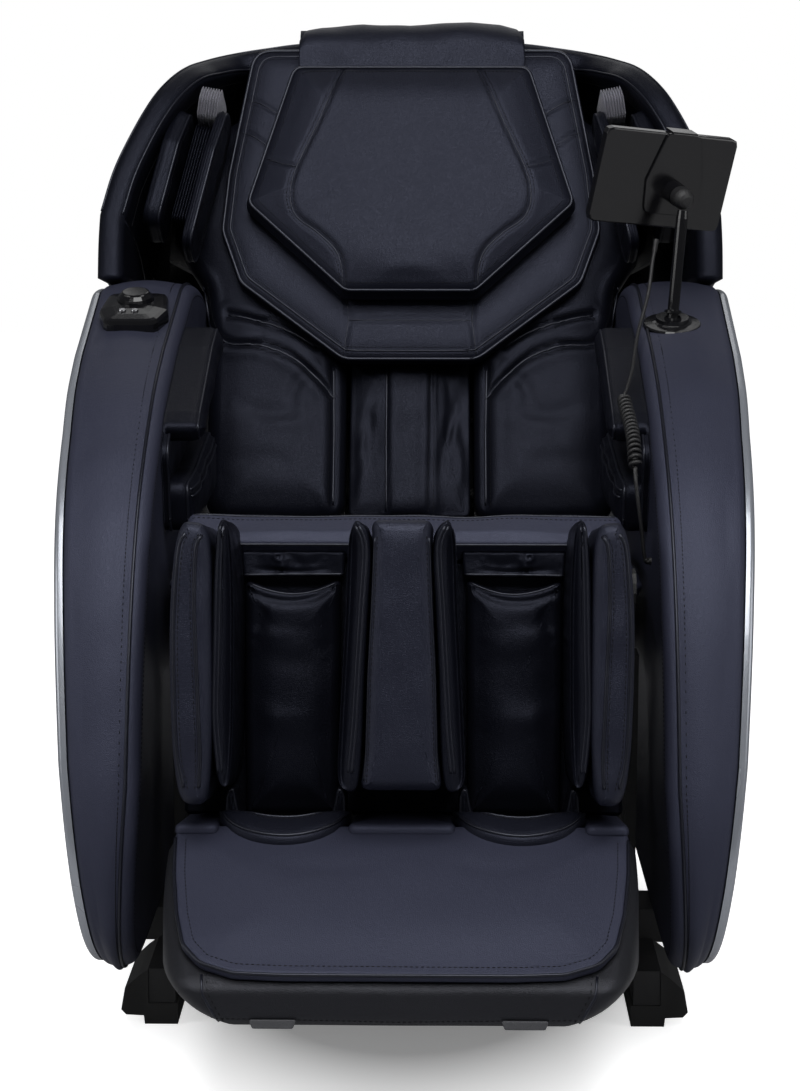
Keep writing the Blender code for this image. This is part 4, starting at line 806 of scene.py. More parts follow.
def hoodWings():
    # the section runs over the outer face to the front edge, round it, and back over the inner face
    crest = evenly(flowing(wing["crest"], 12), 150)
    t = tangents(crest[:, :2], False)
    outward = np.stack((t[:, 1], -t[:, 0]), 1)
    edge, rear, thick, footRows = wing["edge"], wing["rear"], wing["thick"], wing["footRows"]
    turn = np.linspace(0, math.pi / 2, 7)
    back = np.linspace(0, 1, 16, endpoint=False)
    rows = []
    for k in range(-footRows, len(crest)):
        x, z, front = crest[max(k, 0)]
        n = outward[max(k, 0)]
        y = np.concatenate((rear + (front + edge - rear) * back, front + edge * (1 - np.sin(turn)),
                            front + edge * (1 - np.cos(turn)),
                            (front + edge) + (rear - front - edge) * back[1:], [rear]))
        off = np.concatenate((np.zeros(16), edge * (1 - np.cos(turn)), thick - edge * (1 - np.sin(turn)),
                              np.full(16, thick)))
        share = (y - rear) / (front - rear)
        puff = 0.003 * np.sin(math.pi * np.clip(share, 0, 1)) * np.where(off > thick / 2, 1, 0.6)
        off = off + np.where(off > thick / 2, puff, -puff)
        high = np.full_like(y, z)
        if k < 0:   # between the arm's rear edge and the crest's foot
            foot = np.sqrt(wing["footRadius"] ** 2 - y ** 2)
            high = foot + (z - foot) * (k + footRows) / footRows
        rows.append(np.stack((x - n[0] * off, y, high - n[1] * off * (0 if k < 0 else 1)), 1))
    grid = np.stack(rows)
    bend = swell(grid[..., 1:].reshape(-1, 2), 41, 0.16, 0.0022).reshape(grid.shape[:2])
    grid[..., 0] += bend * (grid[..., 2] < 0.70)
    seam = 16 + 7   # the column where the front edge meets the inner face
    for side, name in bothSides:
        half = grid * (side, 1, 1)
        piece = soft("hood_wing_" + name, "shoulder_wing_" + name, "back", onBack(half), "softLeather", 0.6)
        sewing = Sewing(piece, facing(onBack, 0.0), "back", "shoulder_wing_" + name)
        for column in (seam + 3, seam - 5):
            sewing.beading(onBack(half[footRows + 1:-2, column]), 0.0016, (0, -1, 0), False)
        line = evenly(half[footRows + 2:120, seam + 8], 150)
        sewing.stitchAt(onBack(line), np.tile((-side, 0.0, 0.0), (150, 1)), 0.0052)
        sewing.finish()


# ---- shoulder air pads: two leaves with the bellows between them; corners are (along the chair, up)
shoulder = {"middle": (0.2835, 0.50), "lean": 12, "outerFace": 0.0575, "ribs": 8, "ribDepth": 0.003,
            "bellowsWidth": 0.029,
            "leaf": [(-0.165, 0.425), (-0.088, 0.425), (-0.079, 0.560), (-0.092, 0.632), (-0.150, 0.632),
                     (-0.170, 0.560)],
            "outerLeaf": [(-0.168, 0.445), (-0.084, 0.445), (-0.080, 0.560), (-0.092, 0.622),
                          (-0.146, 0.622), (-0.170, 0.560)],
            "bag": [(-0.126, 0.470), (-0.084, 0.470), (-0.084, 0.618), (-0.126, 0.618)],
            "bagCap": [(-0.138, 0.6188), (-0.084, 0.6188), (-0.084, 0.664), (-0.152, 0.660),
                       (-0.154, 0.640)]}


def onShoulder(side):
    c, s = math.cos(math.radians(shoulder["lean"])), math.sin(math.radians(shoulder["lean"]))
    x0, z0 = shoulder["middle"]

    def place(g):
        # grid values (along the chair, thickness, up) grow towards the sitter's shoulder
        x, z = -g[..., 1], g[..., 2] - z0
        return onBack(np.stack((side * (x0 + x * c - z * s), g[..., 0], z0 + x * s + z * c), -1))
    return place


def shoulderLeaf(name, slot, side, place, corners, thickness, edge, crown, seed):
    outline = cornered(corners, 0.025)
    grid = padGrid(outline, thickness, edge, crown, 26, 200, 0.004, 0.0015, waves(seed, 0.05, 0.002))
    piece = extra(name, slot, "back", place(grid), "softLeather", 0.8)
    sewing = Sewing(piece, place, "back", slot)
    sewing.beading(rimPath(place, outline, edge, thickness), 0.0018, (-side, 0, 0))
    middle = np.mean(corners, 0)
    sewing.stitch(closing(cornered(middle + (np.array(corners) - middle) * 0.78, 0.018)))
    sewing.finish()
    return piece


def shoulderBag(corners):
    # bellows: each rib's section swells and draws in again along the bag's width
    section = evenly(cornered(shoulder[corners], 0.010), 120, True)
    into, step = inwards(section), shoulder["ribDepth"]
    rows = []
    for k in range(shoulder["ribs"] * 8 + 1):
        flat = section + into * (step + step * math.cos(2 * math.pi * k / 8))
        depth = -(0.0006 + shoulder["bellowsWidth"] * k / (shoulder["ribs"] * 8))
        rows.append(np.stack((flat[:, 0], np.full(120, depth), flat[:, 1]), 1))
    return np.stack(rows)


def shoulderPads():
    for side, name in bothSides:
        place = onShoulder(side)
        inner = shoulderLeaf("shoulder_leaf_" + name, "shoulder_pad_" + name, side, place, shoulder["leaf"],
                             0.014, 0.006, 0.004, 50 + side)
        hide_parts("shoulder_pad_" + name)
        outer = lambda g: place(g - (0, shoulder["outerFace"], 0))
        shoulderLeaf("shoulder_outer_leaf_" + name, "shoulder_wing_" + name, side, outer,
                     shoulder["outerLeaf"], 0.024, 0.009, 0.002, 55 + side)
        slot = "shoulder_bellows_" + name
        # the bellows' body takes the darkest leather tone: dark cloth together with painted shade in the gap
        # between the leaves; only its cap keeps the grey cloth
        soft("shoulder_bag_" + name, slot, "back", place(shoulderBag("bag")), "softLeather", 0.7)
        extra("shoulder_bag_cap_" + name, slot, "back", place(shoulderBag("bagCap")), "bellows", 0.7)


lumbarCushions()
middleStrip()
hoodWings()
shoulderPads()
print("back sewn")


# ---- arms; lines are (along the chair, up), levels give the width outside at each height
arm = {"axis": (0.16, 0.40), "arc": 0.40, "middle": (-0.02, 0.43),
       "levels": (0.10, 0.22, 0.34, 0.505, 0.66, 0.80),
       "outside": (0.320, 0.336, 0.350, 0.362, 0.375, 0.392), "inside": 0.274, "drawn": 0.012,
       "innerRim": 0.014, "outerRim": 0.010, "gap": 0.0004,
       "shellRim": 0.010, "shellBulge": 0.014, "shellEdge": 0.006, "shellWall": 0.004,
       "front": [(-0.09, 0.738), (-0.20, 0.692), (-0.335, 0.600), (-0.42, 0.490), (-0.487, 0.330),
                 (-0.507, 0.235), (-0.495, 0.155), (-0.445, 0.110), (-0.38, 0.100)],
       "foot": [(0.37, 0.100), (0.44, 0.128)]}


def armOutline(count, drawn=0.0):
    angle = np.radians(np.linspace(-34, 95.7, 90))
    rear = np.array(arm["axis"]) + arm["arc"] * np.stack((np.cos(angle), np.sin(angle)), 1)
    line = evenly(np.vstack((rear, flowing(arm["front"], 12), arm["foot"])), count, True)
    for _ in range(3):
        line = (np.roll(line, 1, 0) + 2 * line + np.roll(line, -1, 0)) / 4
    into = inwards(line)
    return line + into * drawn, into


def armPoints(side, line, share, shift):
    z = line[:, 1]
    inner = arm["inside"] + np.interp(z, (0.10, 0.32), (arm["drawn"], 0))
    outer = np.interp(z, arm["levels"], arm["outside"])
    return np.stack((side * (inner + share * (outer - inner) + shift), line[:, 0], z), 1)


def armBands():
    # rings run over the inner face, round its rim, across the band and over the outer rim
    count = 420
    line, into = armOutline(count)
    middle = np.array(arm["middle"])
    turn = np.linspace(0, math.pi / 2, 7)
    wall = np.linspace(0, 1, 16)[1:-1]
    r1, r2 = arm["innerRim"], arm["outerRim"]
    rings = [(r1, s, 0.0, 0.0) for s in np.linspace(0.01, 0.985, 30)]
    rings += [(r1 * (1 - math.sin(a)), 1.0, 0.0, r1 * (1 - math.cos(a))) for a in turn]
    rings += [(-0.005 * math.sin(math.pi * w), 1.0, w, r1 * (1 - w) - r2 * w) for w in wall]
    rings += [(r2 * (1 - math.cos(a)), 1.0, 1.0, -r2 * (1 - math.sin(a))) for a in turn]
    rings += [(r2, s, 1.0, 0.0) for s in np.linspace(0.985, 0.01, 12)]
    seamRow = 30 + 6
    ring = np.arange(len(rings))
    onBand = (ring > seamRow + 1) & (ring < seamRow + 14)
    flatOut = np.concatenate((np.zeros((count, 1)), -into), 1)
    for side, name in bothSides:
        grid = np.stack([armPoints(side, middle + (line + into * drawn - middle) * scale, share, shift)
                         for drawn, scale, share, shift in rings])
        dent = swell(grid[..., 1:].reshape(-1, 2), 60 + side, 0.22, 0.003).reshape(grid.shape[:2])
        grid[..., 0] += side * np.abs(dent) * (ring < 28)[:, None]
        around = np.stack(np.broadcast_arrays(np.linspace(0, 2.9, count)[None], np.abs(grid[..., 0])), -1)
        ripple = swell(around.reshape(-1, 2), 70 + side, 0.12, 0.0022).reshape(grid.shape[:2])
        grid[..., 1:] -= (into[None] * ripple[..., None]) * onBand[:, None, None]
        piece = soft("arm_padding_" + name, "arm_band_" + name, "base", onChair(grid), "leather", 0.7)
        sewing = Sewing(piece, inward(side, arm["inside"]), "base", "arm_band_" + name)
        sewing.beading(onChair(grid[seamRow] + flatOut * 0.0012), 0.0019, (-side, 0, 0))
        for row, out in ((seamRow + 2, flatOut), (seamRow - 6, np.tile((-side, 0, 0), (count, 1)))):
            both = evenly(np.concatenate((grid[row], out), 1), 560, True)
            sewing.stitchAt(onChair(both[:, :3]), both[:, 3:])
        sewing.finish()


def armShells():
    # from the rim inwards over the dome, then back under it one wall lower
    line, into = armOutline(360, 0.005)
    middle = np.array(arm["middle"])
    turn = np.linspace(0, math.pi / 2, 9)
    rim, bulge, edge, wall, gap = (arm[key] for key in ("shellRim", "shellBulge", "shellEdge", "shellWall",
                                                        "gap"))
    dome = lambda s: bulge * (1 - s ** 2.2)
    rings = [(0.0, 1.0, gap)]
    rings += [(edge * (1 - math.cos(a)), 1.0, gap + rim - edge + edge * math.sin(a)) for a in turn]
    rings += [(edge, s, gap + rim + dome(s)) for s in np.linspace(0.97, 0.0006, 22)]
    rings += [(edge + wall, s, gap + rim - wall + dome(s)) for s in np.linspace(0.0006, 1.0, 12)]
    rings += [(wall, 1.0, gap)]
    for side, name in bothSides:
        grid = np.stack([armPoints(side, middle + (line + into * drawn - middle) * scale, 1.0, shift)
                         for drawn, scale, shift in rings])
        piece = skinned("silver_side_" + name, onChair(closing(grid)), "base", looks["shell"],
                        "arm_shell_" + name, capped=False)
        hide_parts("arm_shell_" + name)


# ---- forearm unit: a lining, the rest along its top and the air pad below the slot for the forearm
forearm = {"rest": {"corners": [(-0.212, 0.646), (-0.165, 0.657), (-0.040, 0.704), (0.042, 0.722),
                                (0.032, 0.760), (-0.045, 0.740), (-0.200, 0.680), (-0.226, 0.666)],
                    "radius": 0.013, "thickness": 0.042, "edge": 0.011, "crown": 0.005,
                    "stitches": [(-0.205, 0.662), (-0.165, 0.669), (-0.040, 0.717), (0.028, 0.735)]},
           "air_pad": {"corners": [(-0.222, 0.545), (0.045, 0.545), (0.050, 0.632), (-0.130, 0.608),
                                   (-0.236, 0.604)],
                       "radius": 0.020, "thickness": 0.030, "edge": 0.012, "crown": 0.006,
                       "stitches": [(-0.222, 0.590), (-0.130, 0.594), (0.040, 0.616)]},
           "lining": {"corners": [(-0.225, 0.545), (0.045, 0.545), (0.050, 0.632), (0.045, 0.735),
                                  (0.030, 0.752), (-0.045, 0.732), (-0.200, 0.670), (-0.246, 0.640),
                                  (-0.235, 0.604)],
                      "radius": 0.020, "thickness": 0.007, "edge": 0.002, "crown": 0.0},
           "slack": [([(-0.19, 0.57), (-0.15, 0.585), (-0.12, 0.60)], -0.003, 0.010),
                     ([(-0.08, 0.56), (-0.05, 0.585), (-0.04, 0.61)], 0.002, 0.012)]}


def forearmPads():
    for side, name in bothSides:
        slot = "arm_pad_" + name
        place = inward(side, arm["inside"] - arm["gap"])
        reliefs = {"rest": waves(80 + side, 0.08, 0.002),
                   "air_pad": together(waves(84 + side, 0.08, 0.003), creases(forearm["slack"])),
                   "lining": waves(88 + side, 0.06, 0.0015)}
        for layer, relief in reliefs.items():
            facts = forearm[layer]
            edge, thickness = facts["edge"], facts["thickness"]
            outline = cornered(facts["corners"], facts["radius"])
            grid = padGrid(outline, thickness, edge, facts["crown"], 30, 280, 0.0, 0.0, relief, 0.012)
            make = soft if layer == "rest" else extra
            piece = make("forearm_%s_%s" % (layer, name), slot, "base", place(grid), "softLeather", 0.8)
            sewing = Sewing(piece, place, "base", slot)
            sewing.beading(rimPath(place, outline, edge, thickness), 0.0019, (-side, 0, 0))
            if layer == "air_pad":
                for step in (0.010, 0.018):
                    sewing.pipe([(-0.222, 0.604 - step), (-0.130, 0.608 - step), (0.040, 0.630 - step)],
                                0.0014, 0.1)
            if "stitches" in facts:
                sewing.stitch(facts["stitches"])
            sewing.finish()


# ---- seat
cushion = {"foot": 0.046, "half": 0.266, "front": -0.178, "rear": 0.200, "corner": 0.035,
           "thickness": 0.034, "edge": 0.016, "crown": 0.012,
           "crossSeam": [(-0.262, -0.150), (-0.15, -0.142), (0.0, -0.140), (0.15, -0.142), (0.262, -0.150)],
           "folds": [([(-0.2, 0.05), (-0.16, 0.02), (-0.13, 0.04)], -0.004, 0.014),
                     ([(0.13, 0.06), (0.17, 0.03), (0.22, 0.05)], -0.004, 0.014),
                     ([(-0.06, 0.10), (0.0, 0.08), (0.06, 0.10)], -0.004, 0.014)],
           "tier": {"half": 0.232, "front": -0.172, "rear": 0.176, "low": 0.0008, "high": 0.0500},
           "leverRoom": {"half": 0.0320, "rear": 0.105}}


def seat():
    place = upward(onSeat, cushion["foot"])
    half, front, rear = cushion["half"], cushion["front"], cushion["rear"]
    outline = cornered([(-half, front), (half, front), (half, rear), (-half, rear)], cushion["corner"])
    cross = flowing(cushion["crossSeam"])
    down = [flowing([(x, -0.140), (x * 1.05, 0.0), (x * 1.02, 0.19)]) for x in (-0.11, 0.11)]
    relief = together(grooves([cross, *down], 0.004, 0.005, 0.002), creases(cushion["folds"]),
                      waves(90, 0.13, 0.004))
    grid = padGrid(outline, cushion["thickness"], cushion["edge"], cushion["crown"], 46, 360, 0.006, 0.003,
                   relief, 0.06, walls=8)
    piece = soft("seat_pad", "seat_cushion", "base", place(grid), "leather", 0.8)
    sewing = Sewing(piece, place, "base", "seat_cushion")
    sewing.pipe(cross, 0.0014, 0.1)
    for line in down:
        sewing.rows(line, 0.004)
    sewing.beading(rimPath(place, outline, cushion["edge"], cushion["thickness"]), 0.0020, (0, 0, 1))
    sewing.finish()


def seatTier():
    # a rounded section carried across the chair, with room at the rear for the recline lever
    tier, room = cushion["tier"], cushion["leverRoom"]
    half, lever = tier["half"], room["half"]
    rows = []
    for x in (-half, -half + 0.003, -lever - 0.0006, -lever, lever, lever + 0.0006, half - 0.003, half):
        drawn = 0.003 if abs(x) == half else 0.0
        front, low, high = tier["front"] + drawn, tier["low"] + drawn, tier["high"] - drawn
        rear = (room["rear"] if abs(x) <= lever else tier["rear"]) - drawn
        flat = evenly(cornered([(front, low), (rear, low), (rear, high), (front, high)], 0.006), 60, True)
        rows.append(np.stack((np.full(60, x), flat[:, 0], flat[:, 1]), 1))
    skinned("seat_pad_base", onSeat(np.stack(rows)), "base", looks["underShadeLeather"], "seat_cushion")


armBands()
armShells()
forearmPads()
seat()
seatTier()
print("arms and seat sewn")


# ---- leg rest; outlines are (across, up) in the calf housing's front plane
leg = {"front": -0.0123, "bolsterDepth": 0.1597}
calf = {"sag": [(0.0670, 0.009), (0.0960, -0.002), (0.1200, -0.005), (0.1450, -0.001), (0.1698, 0.008)],
        "low": [(0.0690, -0.243), (0.1675, -0.243), (0.1698, -0.120)],
        "lip": [(0.0775, -0.002), (0.0996, -0.012), (0.1242, -0.015), (0.1488, -0.011), (0.1685, -0.003)],
        "thickness": 0.024, "edge": 0.009, "crown": 0.008,
        "tuck": ([(0.155, -0.010), (0.150, -0.030), (0.162, -0.050)], -0.003, 0.007),
        "valance": [(0.0640, 0.0115), (0.1730, 0.0105), (0.1750, 0.039), (0.0625, 0.039)],
        "valanceHem": [(0.0650, 0.0140), (0.120, 0.0138), (0.1725, 0.0130)],
        "slack": [([(0.135, 0.033), (0.130, 0.026), (0.132, 0.017)], 0.0035, 0.005),
                  ([(0.075, 0.020), (0.115, 0.0165), (0.165, 0.020)], -0.0035, 0.0035),
                  ([(0.085, 0.030), (0.105, 0.024), (0.125, 0.030)], -0.0025, 0.006)]}


def calfPads():
    place = facing(onLegs, leg["front"])
    random = np.random.default_rng(9)
    marks = []
    for k in range(7):
        z = random.uniform(-0.20, -0.04)
        line = [(0.085, z), (0.12, z + random.uniform(-0.012, 0.012)),
                (0.160, z + random.uniform(-0.02, 0.02))]
        marks.append((line, random.uniform(-0.0020, 0.0015), random.uniform(0.008, 0.014)))
    marks.append(calf["tuck"])
    hem = flowing([(a, b - 0.0025) for a, b in calf["sag"]])
    for side, name in bothSides:
        turned = onSide(side)
        slot = "calf_pad_" + name
        outline = turned(cornered(calf["low"] + calf["sag"][::-1], 0.006))
        relief = together(grooves([turned(flowing(calf["lip"]))], 0.003, 0.0030, 0.001),
                          folded(marks, turned), waves(100 + side, 0.09, 0.002))
        grid = padGrid(outline, calf["thickness"], calf["edge"], calf["crown"], 36, 300, relief=relief,
                       spread=0.022)
        piece = soft("calf_cushion_" + name, slot, "leg_rest", place(grid), "softLeather", 0.7)
        sewing = Sewing(piece, place, "leg_rest", slot)
        sewing.pipe(turned(hem), 0.0013, 0.1)
        sewing.finish()
        relief = together(folded(calf["slack"], turned), waves(105 + side, 0.03, 0.0015))
        grid = padGrid(turned(cornered(calf["valance"], 0.004)), 0.019, 0.004, 0.0, 30, 260, relief=relief)
        piece = extra("calf_valance_" + name, slot, "leg_rest", place(grid), "softLeather", 0.3)
        sewing = Sewing(piece, place, "leg_rest", slot)
        sewing.pipe(turned(calf["valanceHem"]), 0.0014, 0.0, 0.003)
        sewing.finish()


# ---- walls of the two calf channels: outer walls with a leaf each, inner walls and the middle one
walls = {"outer": [(0.2150, 0.0640), (0.2245, 0.0600), (0.2310, 0.0380), (0.2352, -0.0090), (0.2362, -0.0560),
                   (0.2350, -0.1140), (0.2318, -0.1720), (0.2240, -0.2150), (0.2080, -0.2230),
                   (0.1960, -0.2120), (0.1920, -0.1500), (0.1930, -0.0500), (0.1945, 0.0300),
                   (0.2000, 0.0580)],
         "outerWelts": [[(0.2030, 0.0500), (0.2085, 0.0379), (0.2105, -0.0089), (0.2091, -0.0555),
                         (0.2058, -0.1253), (0.2037, -0.1718), (0.2045, -0.2050)],
                        [(0.2200, 0.0520), (0.2262, 0.0378), (0.2300, -0.0089), (0.2312, -0.0556),
                         (0.2298, -0.1138), (0.2268, -0.1719), (0.2200, -0.2050)]],
         "leaf": [(0.1810, 0.0655), (0.1860, 0.0630), (0.1890, 0.0480), (0.1920, 0.0030), (0.1935, -0.0670),
                  (0.1945, -0.1200), (0.1930, -0.1500), (0.1880, -0.1900), (0.1820, -0.2040),
                  (0.1750, -0.1980), (0.1718, -0.1500), (0.1712, -0.0700), (0.1720, 0.0000),
                  (0.1755, 0.0500)],
         "leafWelt": [(0.1829, 0.0600), (0.1850, 0.0496), (0.1870, 0.0029), (0.1880, -0.0671),
                      (0.1890, -0.1206), (0.1880, -0.1485), (0.1840, -0.1900)],
         "inner": [(0.0450, 0.0655), (0.0505, 0.0600), (0.0545, 0.0400), (0.0565, -0.0200), (0.0600, -0.0900),
                   (0.0630, -0.1500), (0.0640, -0.1950), (0.0560, -0.2080), (0.0450, -0.2050),
                   (0.0405, -0.1700), (0.0378, -0.0900), (0.0342, -0.0200), (0.0318, 0.0270),
                   (0.0350, 0.0550)],
         "innerWelt": [(0.0455, 0.0600), (0.0391, 0.0453), (0.0375, 0.0266), (0.0405, -0.0200),
                       (0.0446, -0.0899), (0.0480, -0.1480), (0.0520, -0.1900)],
         "middleHalf": [(0.0415, -0.208), (0.0372, -0.171), (0.0351, -0.090), (0.0319, -0.020),
                        (0.0298, 0.038), (0.0310, 0.0665)],
         "middleSeam": [(0.0250, 0.048), (0.0275, -0.020), (0.0310, -0.090), (0.0330, -0.171),
                        (0.035, -0.198)]}


def wrinkled(seed, size, height):
    # gathers the sides of an upright wall; depth counts in metres, the way round in shares
    return lambda side: swell(side.reshape(-1, 2) * (1.2, 1.0), seed, size, height).reshape(side.shape[:-1])


def falling(line, toward):
    # the pad's front falls away from its welt towards the calf
    line = line[np.argsort(line[:, 1])]

    def relief(points):
        past = toward * (np.abs(points[:, 0]) - np.interp(points[:, 1], line[:, 1], line[:, 0]))
        return -0.9 * np.maximum(0, past)
    return relief


def calfWalls():
    place = facing(onLegs, leg["front"])
    depth = leg["bolsterDepth"]
    for side, name in bothSides:
        turned = onSide(side)
        slot = "calf_bolster_" + name
        grid = padGrid(turned(flowing(walls["outer"], 8, True)), depth, 0.010, 0.002, 16, 300, 0.004, 0.0,
                       waves(110 + side, 0.05, 0.0012), 0.008, walls=40,
                       wallRelief=wrinkled(111 + side, 0.05, 0.0020))
        piece = soft("outer_wall_" + name, slot, "leg_rest", place(grid), "shadeLeather", 0.7)
        sewing = Sewing(piece, place, "leg_rest", slot)
        for line, step in zip(walls["outerWelts"], (-0.004, 0.004)):
            sewing.pipe(turned(flowing(line)), 0.0020, 0.0)
            sewing.stitch(turned(flowing(np.array(line) - (step, 0))))
        sewing.finish()
        for make, piece, slot, outline, front, line, toward, seed in (
                (extra, "wall_leaf_", slot, walls["leaf"], depth - 0.006, walls["leafWelt"], -1, 115),
                (soft, "inner_wall_", "calf_inner_pad_" + name, walls["inner"], depth - 0.005,
                 walls["innerWelt"], 1, 121)):
            line = np.array(line)
            grid = padGrid(turned(flowing(outline, 8, True)), front, 0.004, 0.0, 14, 300, 0.003, 0.001,
                           falling(line, toward), 0.02, walls=40,
                           wallRelief=wrinkled(seed + side, 0.042, 0.0016))
            piece = make(piece + name, slot, "leg_rest", place(grid), "softLeather", 0.6)
            sewing = Sewing(piece, place, "leg_rest", slot)
            for step in (0.0019, -0.0019):
                sewing.pipe(turned(flowing(line + (step, 0))), 0.0015, 0.2)
            sewing.finish()
    grid = padGrid(cornered(mirrored(walls["middleHalf"]), 0.009), depth, 0.012, 0.002, 14, 300, 0.004,
                   0.001, waves(131, 0.06, 0.001), 0.012, walls=30, wallRelief=wrinkled(132, 0.05, 0.001))
    piece = soft("middle_wall", "calf_center_bolster", "leg_rest", place(grid), "shadeLeather", 0.7)
    sewing = Sewing(piece, place, "leg_rest", "calf_center_bolster")
    for side in (1, -1):
        line = np.array(walls["middleSeam"]) * (side, 1)
        sewing.pipe(line + (0.0025 * side, 0), 0.0012, 0.1)
        sewing.stitch(line)
    sewing.finish()


# ---- bar over the calves; its section is (along the chair, up)
kneeBar = {"half": 0.236, "edge": 0.010, "welt": 0.228, "weltAt": (-0.0355, 0.0455), "topSeam": -0.006,
           "section": [(-0.018, 0.0305), (0.022, 0.0305), (0.024, 0.050), (0.014, 0.077), (-0.004, 0.079),
                       (-0.030, 0.060), (-0.0365, 0.0465), (-0.0300, 0.0405)]}


def topBar():
    # the section carried across the chair, drawn in on its middle at both rounded ends
    section = evenly(cornered(kneeBar["section"], 0.007), 60, True)
    middle, half, edge = section.mean(0), kneeBar["half"], kneeBar["edge"]
    turn = np.linspace(0, math.pi / 2, 7)
    rows = []
    for x in np.concatenate((-half + edge * (1 - np.cos(turn)), np.linspace(-half + 0.012, half - 0.012, 150),
                             half - edge * (1 - np.cos(turn[::-1])))):
        inset = edge - math.sqrt(max(0.0, edge ** 2 - max(0.0, abs(x) - half + edge) ** 2))
        flat = middle + (section - middle) * (1 - inset / 0.022)
        rows.append(np.stack((np.full(60, x), flat[:, 0], flat[:, 1]), 1))
    grid = np.stack(rows)
    rise = swell(grid[..., :2].reshape(-1, 2), 140, 0.08, 0.0022).reshape(grid.shape[:2])
    grid[..., 2] += rise * (grid[..., 2] > 0.055)
    piece = soft("knee_bar", "calf_top_bar", "leg_rest", onLegs(grid), "leather", 0.8)
    sewing = Sewing(piece, upward(onLegs, 0.0), "leg_rest", "calf_top_bar")
    welt, y = kneeBar["welt"], kneeBar["topSeam"]
    seam = np.array([(-welt, y), (welt, y)])
    sewing.pipe(seam, 0.0014, 0.2)
    for step in (-0.005, 0.005):
        sewing.stitch(seam + (0, step))
    sewing.finish()
    y, z = kneeBar["weltAt"]
    line = onLegs(np.stack((np.linspace(-welt, welt, 90), np.full(90, y), np.full(90, z)), 1))
    skinned("knee_bar_welt", rope(line, 0.0016, (0, -1, 0)), "leg_rest", looks["piping"], "calf_top_bar")


calfPads()
calfWalls()
topBar()
print("leg rest sewn")


# ---- foot box
foot = {"half": 0.242, "edge": 0.018, "middle": (-0.12, -0.35), "wellAt": 0.122, "wellHalf": 0.050,
        "wellY": (-0.105, -0.010), "wellFloor": -0.410,
        "side": [(0.022, -0.2525), (-0.118, -0.263), (-0.2790, -0.3800), (-0.2885, -0.390), (-0.286, -0.424),
                 (-0.240, -0.431), (-0.010, -0.432), (0.022, -0.405)],
        "cornerSeam": [(0.1904, -0.378), (0.1883, -0.395), (0.1737, -0.422)],
        "lowStitches": [(-0.196, -0.418), (0.0, -0.421), (0.196, -0.418)],
        "tab": [(0.098, -0.4190), (0.144, -0.4190), (0.1405, -0.4275), (0.1015, -0.4275)]}


def footBox():
    # the side outline swept across the chair, narrower towards its nose and its lower edge
    outline = evenly(cornered(foot["side"], 0.016), 260, True)
    into = inwards(outline)
    edge, half = foot["edge"], foot["half"]
    turn = np.linspace(0, math.pi / 2, 8)
    rows = [(half, s, edge) for s in np.linspace(0.02, 0.97, 10)]
    rows += [(half - edge * (1 - math.cos(a)), 1.0, edge * (1 - math.sin(a))) for a in turn]
    rows += [(x, 1.0, 0.0) for x in np.linspace(half - edge, -(half - edge), 150)[1:-1]]
    rows += [(-(half - edge * (1 - math.cos(a))), 1.0, edge * (1 - math.sin(a))) for a in turn[::-1]]
    rows += [(-half, s, edge) for s in np.linspace(0.97, 0.02, 10)]
    middle = np.array(foot["middle"])
    grid = []
    for x, scale, drawn in rows:
        flat = middle + (outline + into * drawn - middle) * scale
        nose = np.clip((-flat[:, 0] - 0.118) / 0.17, 0, 1)
        low = np.clip((-flat[:, 1] - 0.375) / 0.057, 0, 1)
        across = x * (1 - 0.10 * nose ** 2) * (1 - 0.28 * low ** 2)
        grid.append(np.stack((across, flat[:, 0], flat[:, 1]), 1))
    grid = np.stack(grid)
    ripple = swell(grid[..., ::2].reshape(-1, 2), 150, 0.11, 0.0022).reshape(grid.shape[:2])
    grid[..., 1] += ripple * (grid[..., 1] < -0.26)
    # every top point inside a well's plan drops to its floor
    x, y, z = grid[..., 0], grid[..., 1], grid[..., 2]
    inX = np.clip((foot["wellHalf"] - np.abs(np.abs(x) - foot["wellAt"])) / 0.0035, 0, 1)
    inY = np.clip((np.minimum(y - foot["wellY"][0], foot["wellY"][1] - y)) / 0.0015, 0, 1)
    depth = inX * inY * (z > -0.30)
    grid[..., 2] = z + (foot["wellFloor"] - z) * np.where(depth > 0.5, 1, 0)
    piece = soft("foot_box", "foot_housing", "foot", onLegs(grid), "underShadeLeather", 0.9)
    sewing = Sewing(piece, facing(onLegs, -0.32), "foot", "foot_housing")
    for side in (1, -1):
        seam = np.array(foot["cornerSeam"]) * (side, 1)
        sewing.pipe(seam, 0.0015, 0.1)
        sewing.stitch(beside(seam, -0.005 * side))
    sewing.stitch(np.array(foot["lowStitches"]))
    sewing.finish()
    for side, name in bothSides:
        tab = cornered([(x * side, z) for x, z in foot["tab"]], 0.002)
        grid = padGrid(tab, 0.030, 0.001, 0.0, 6, 60, 0.001)
        skinned("foot_tab_" + name, facing(onLegs, -0.2575)(grid), "foot", looks["tab"], "foot_housing")


# ---- lid on the foot box's slope; its outline is (across, up the slope from its top edge)
lid = {"top": (-0.118, -0.263), "low": (-0.268, -0.372), "above": 0.0005, "thickness": 0.010, "edge": 0.005,
       "crown": 0.007, "corner": 0.030, "stitchesIn": 0.040,
       "half": [(0.1100, -0.2060), (0.1600, -0.2035), (0.1930, -0.1900), (0.2120, -0.1640), (0.2220, -0.1200),
                (0.2300, -0.0600), (0.2340, 0.0020), (0.2200, 0.0130)],
       "folds": [([(-0.15, -0.05), (-0.08, -0.06), (0.0, -0.05)], -0.0008, 0.014),
                 ([(0.03, -0.04), (0.09, -0.06), (0.16, -0.045)], -0.0008, 0.014)],
       "tops": [(-0.0555, 0.0555, 0.005), (0.1890, 0.2340, 0.002), (-0.2340, -0.1890, 0.002)],
       "topsFrom": -0.128, "topsTo": 0.012, "topsFoot": -0.2575}


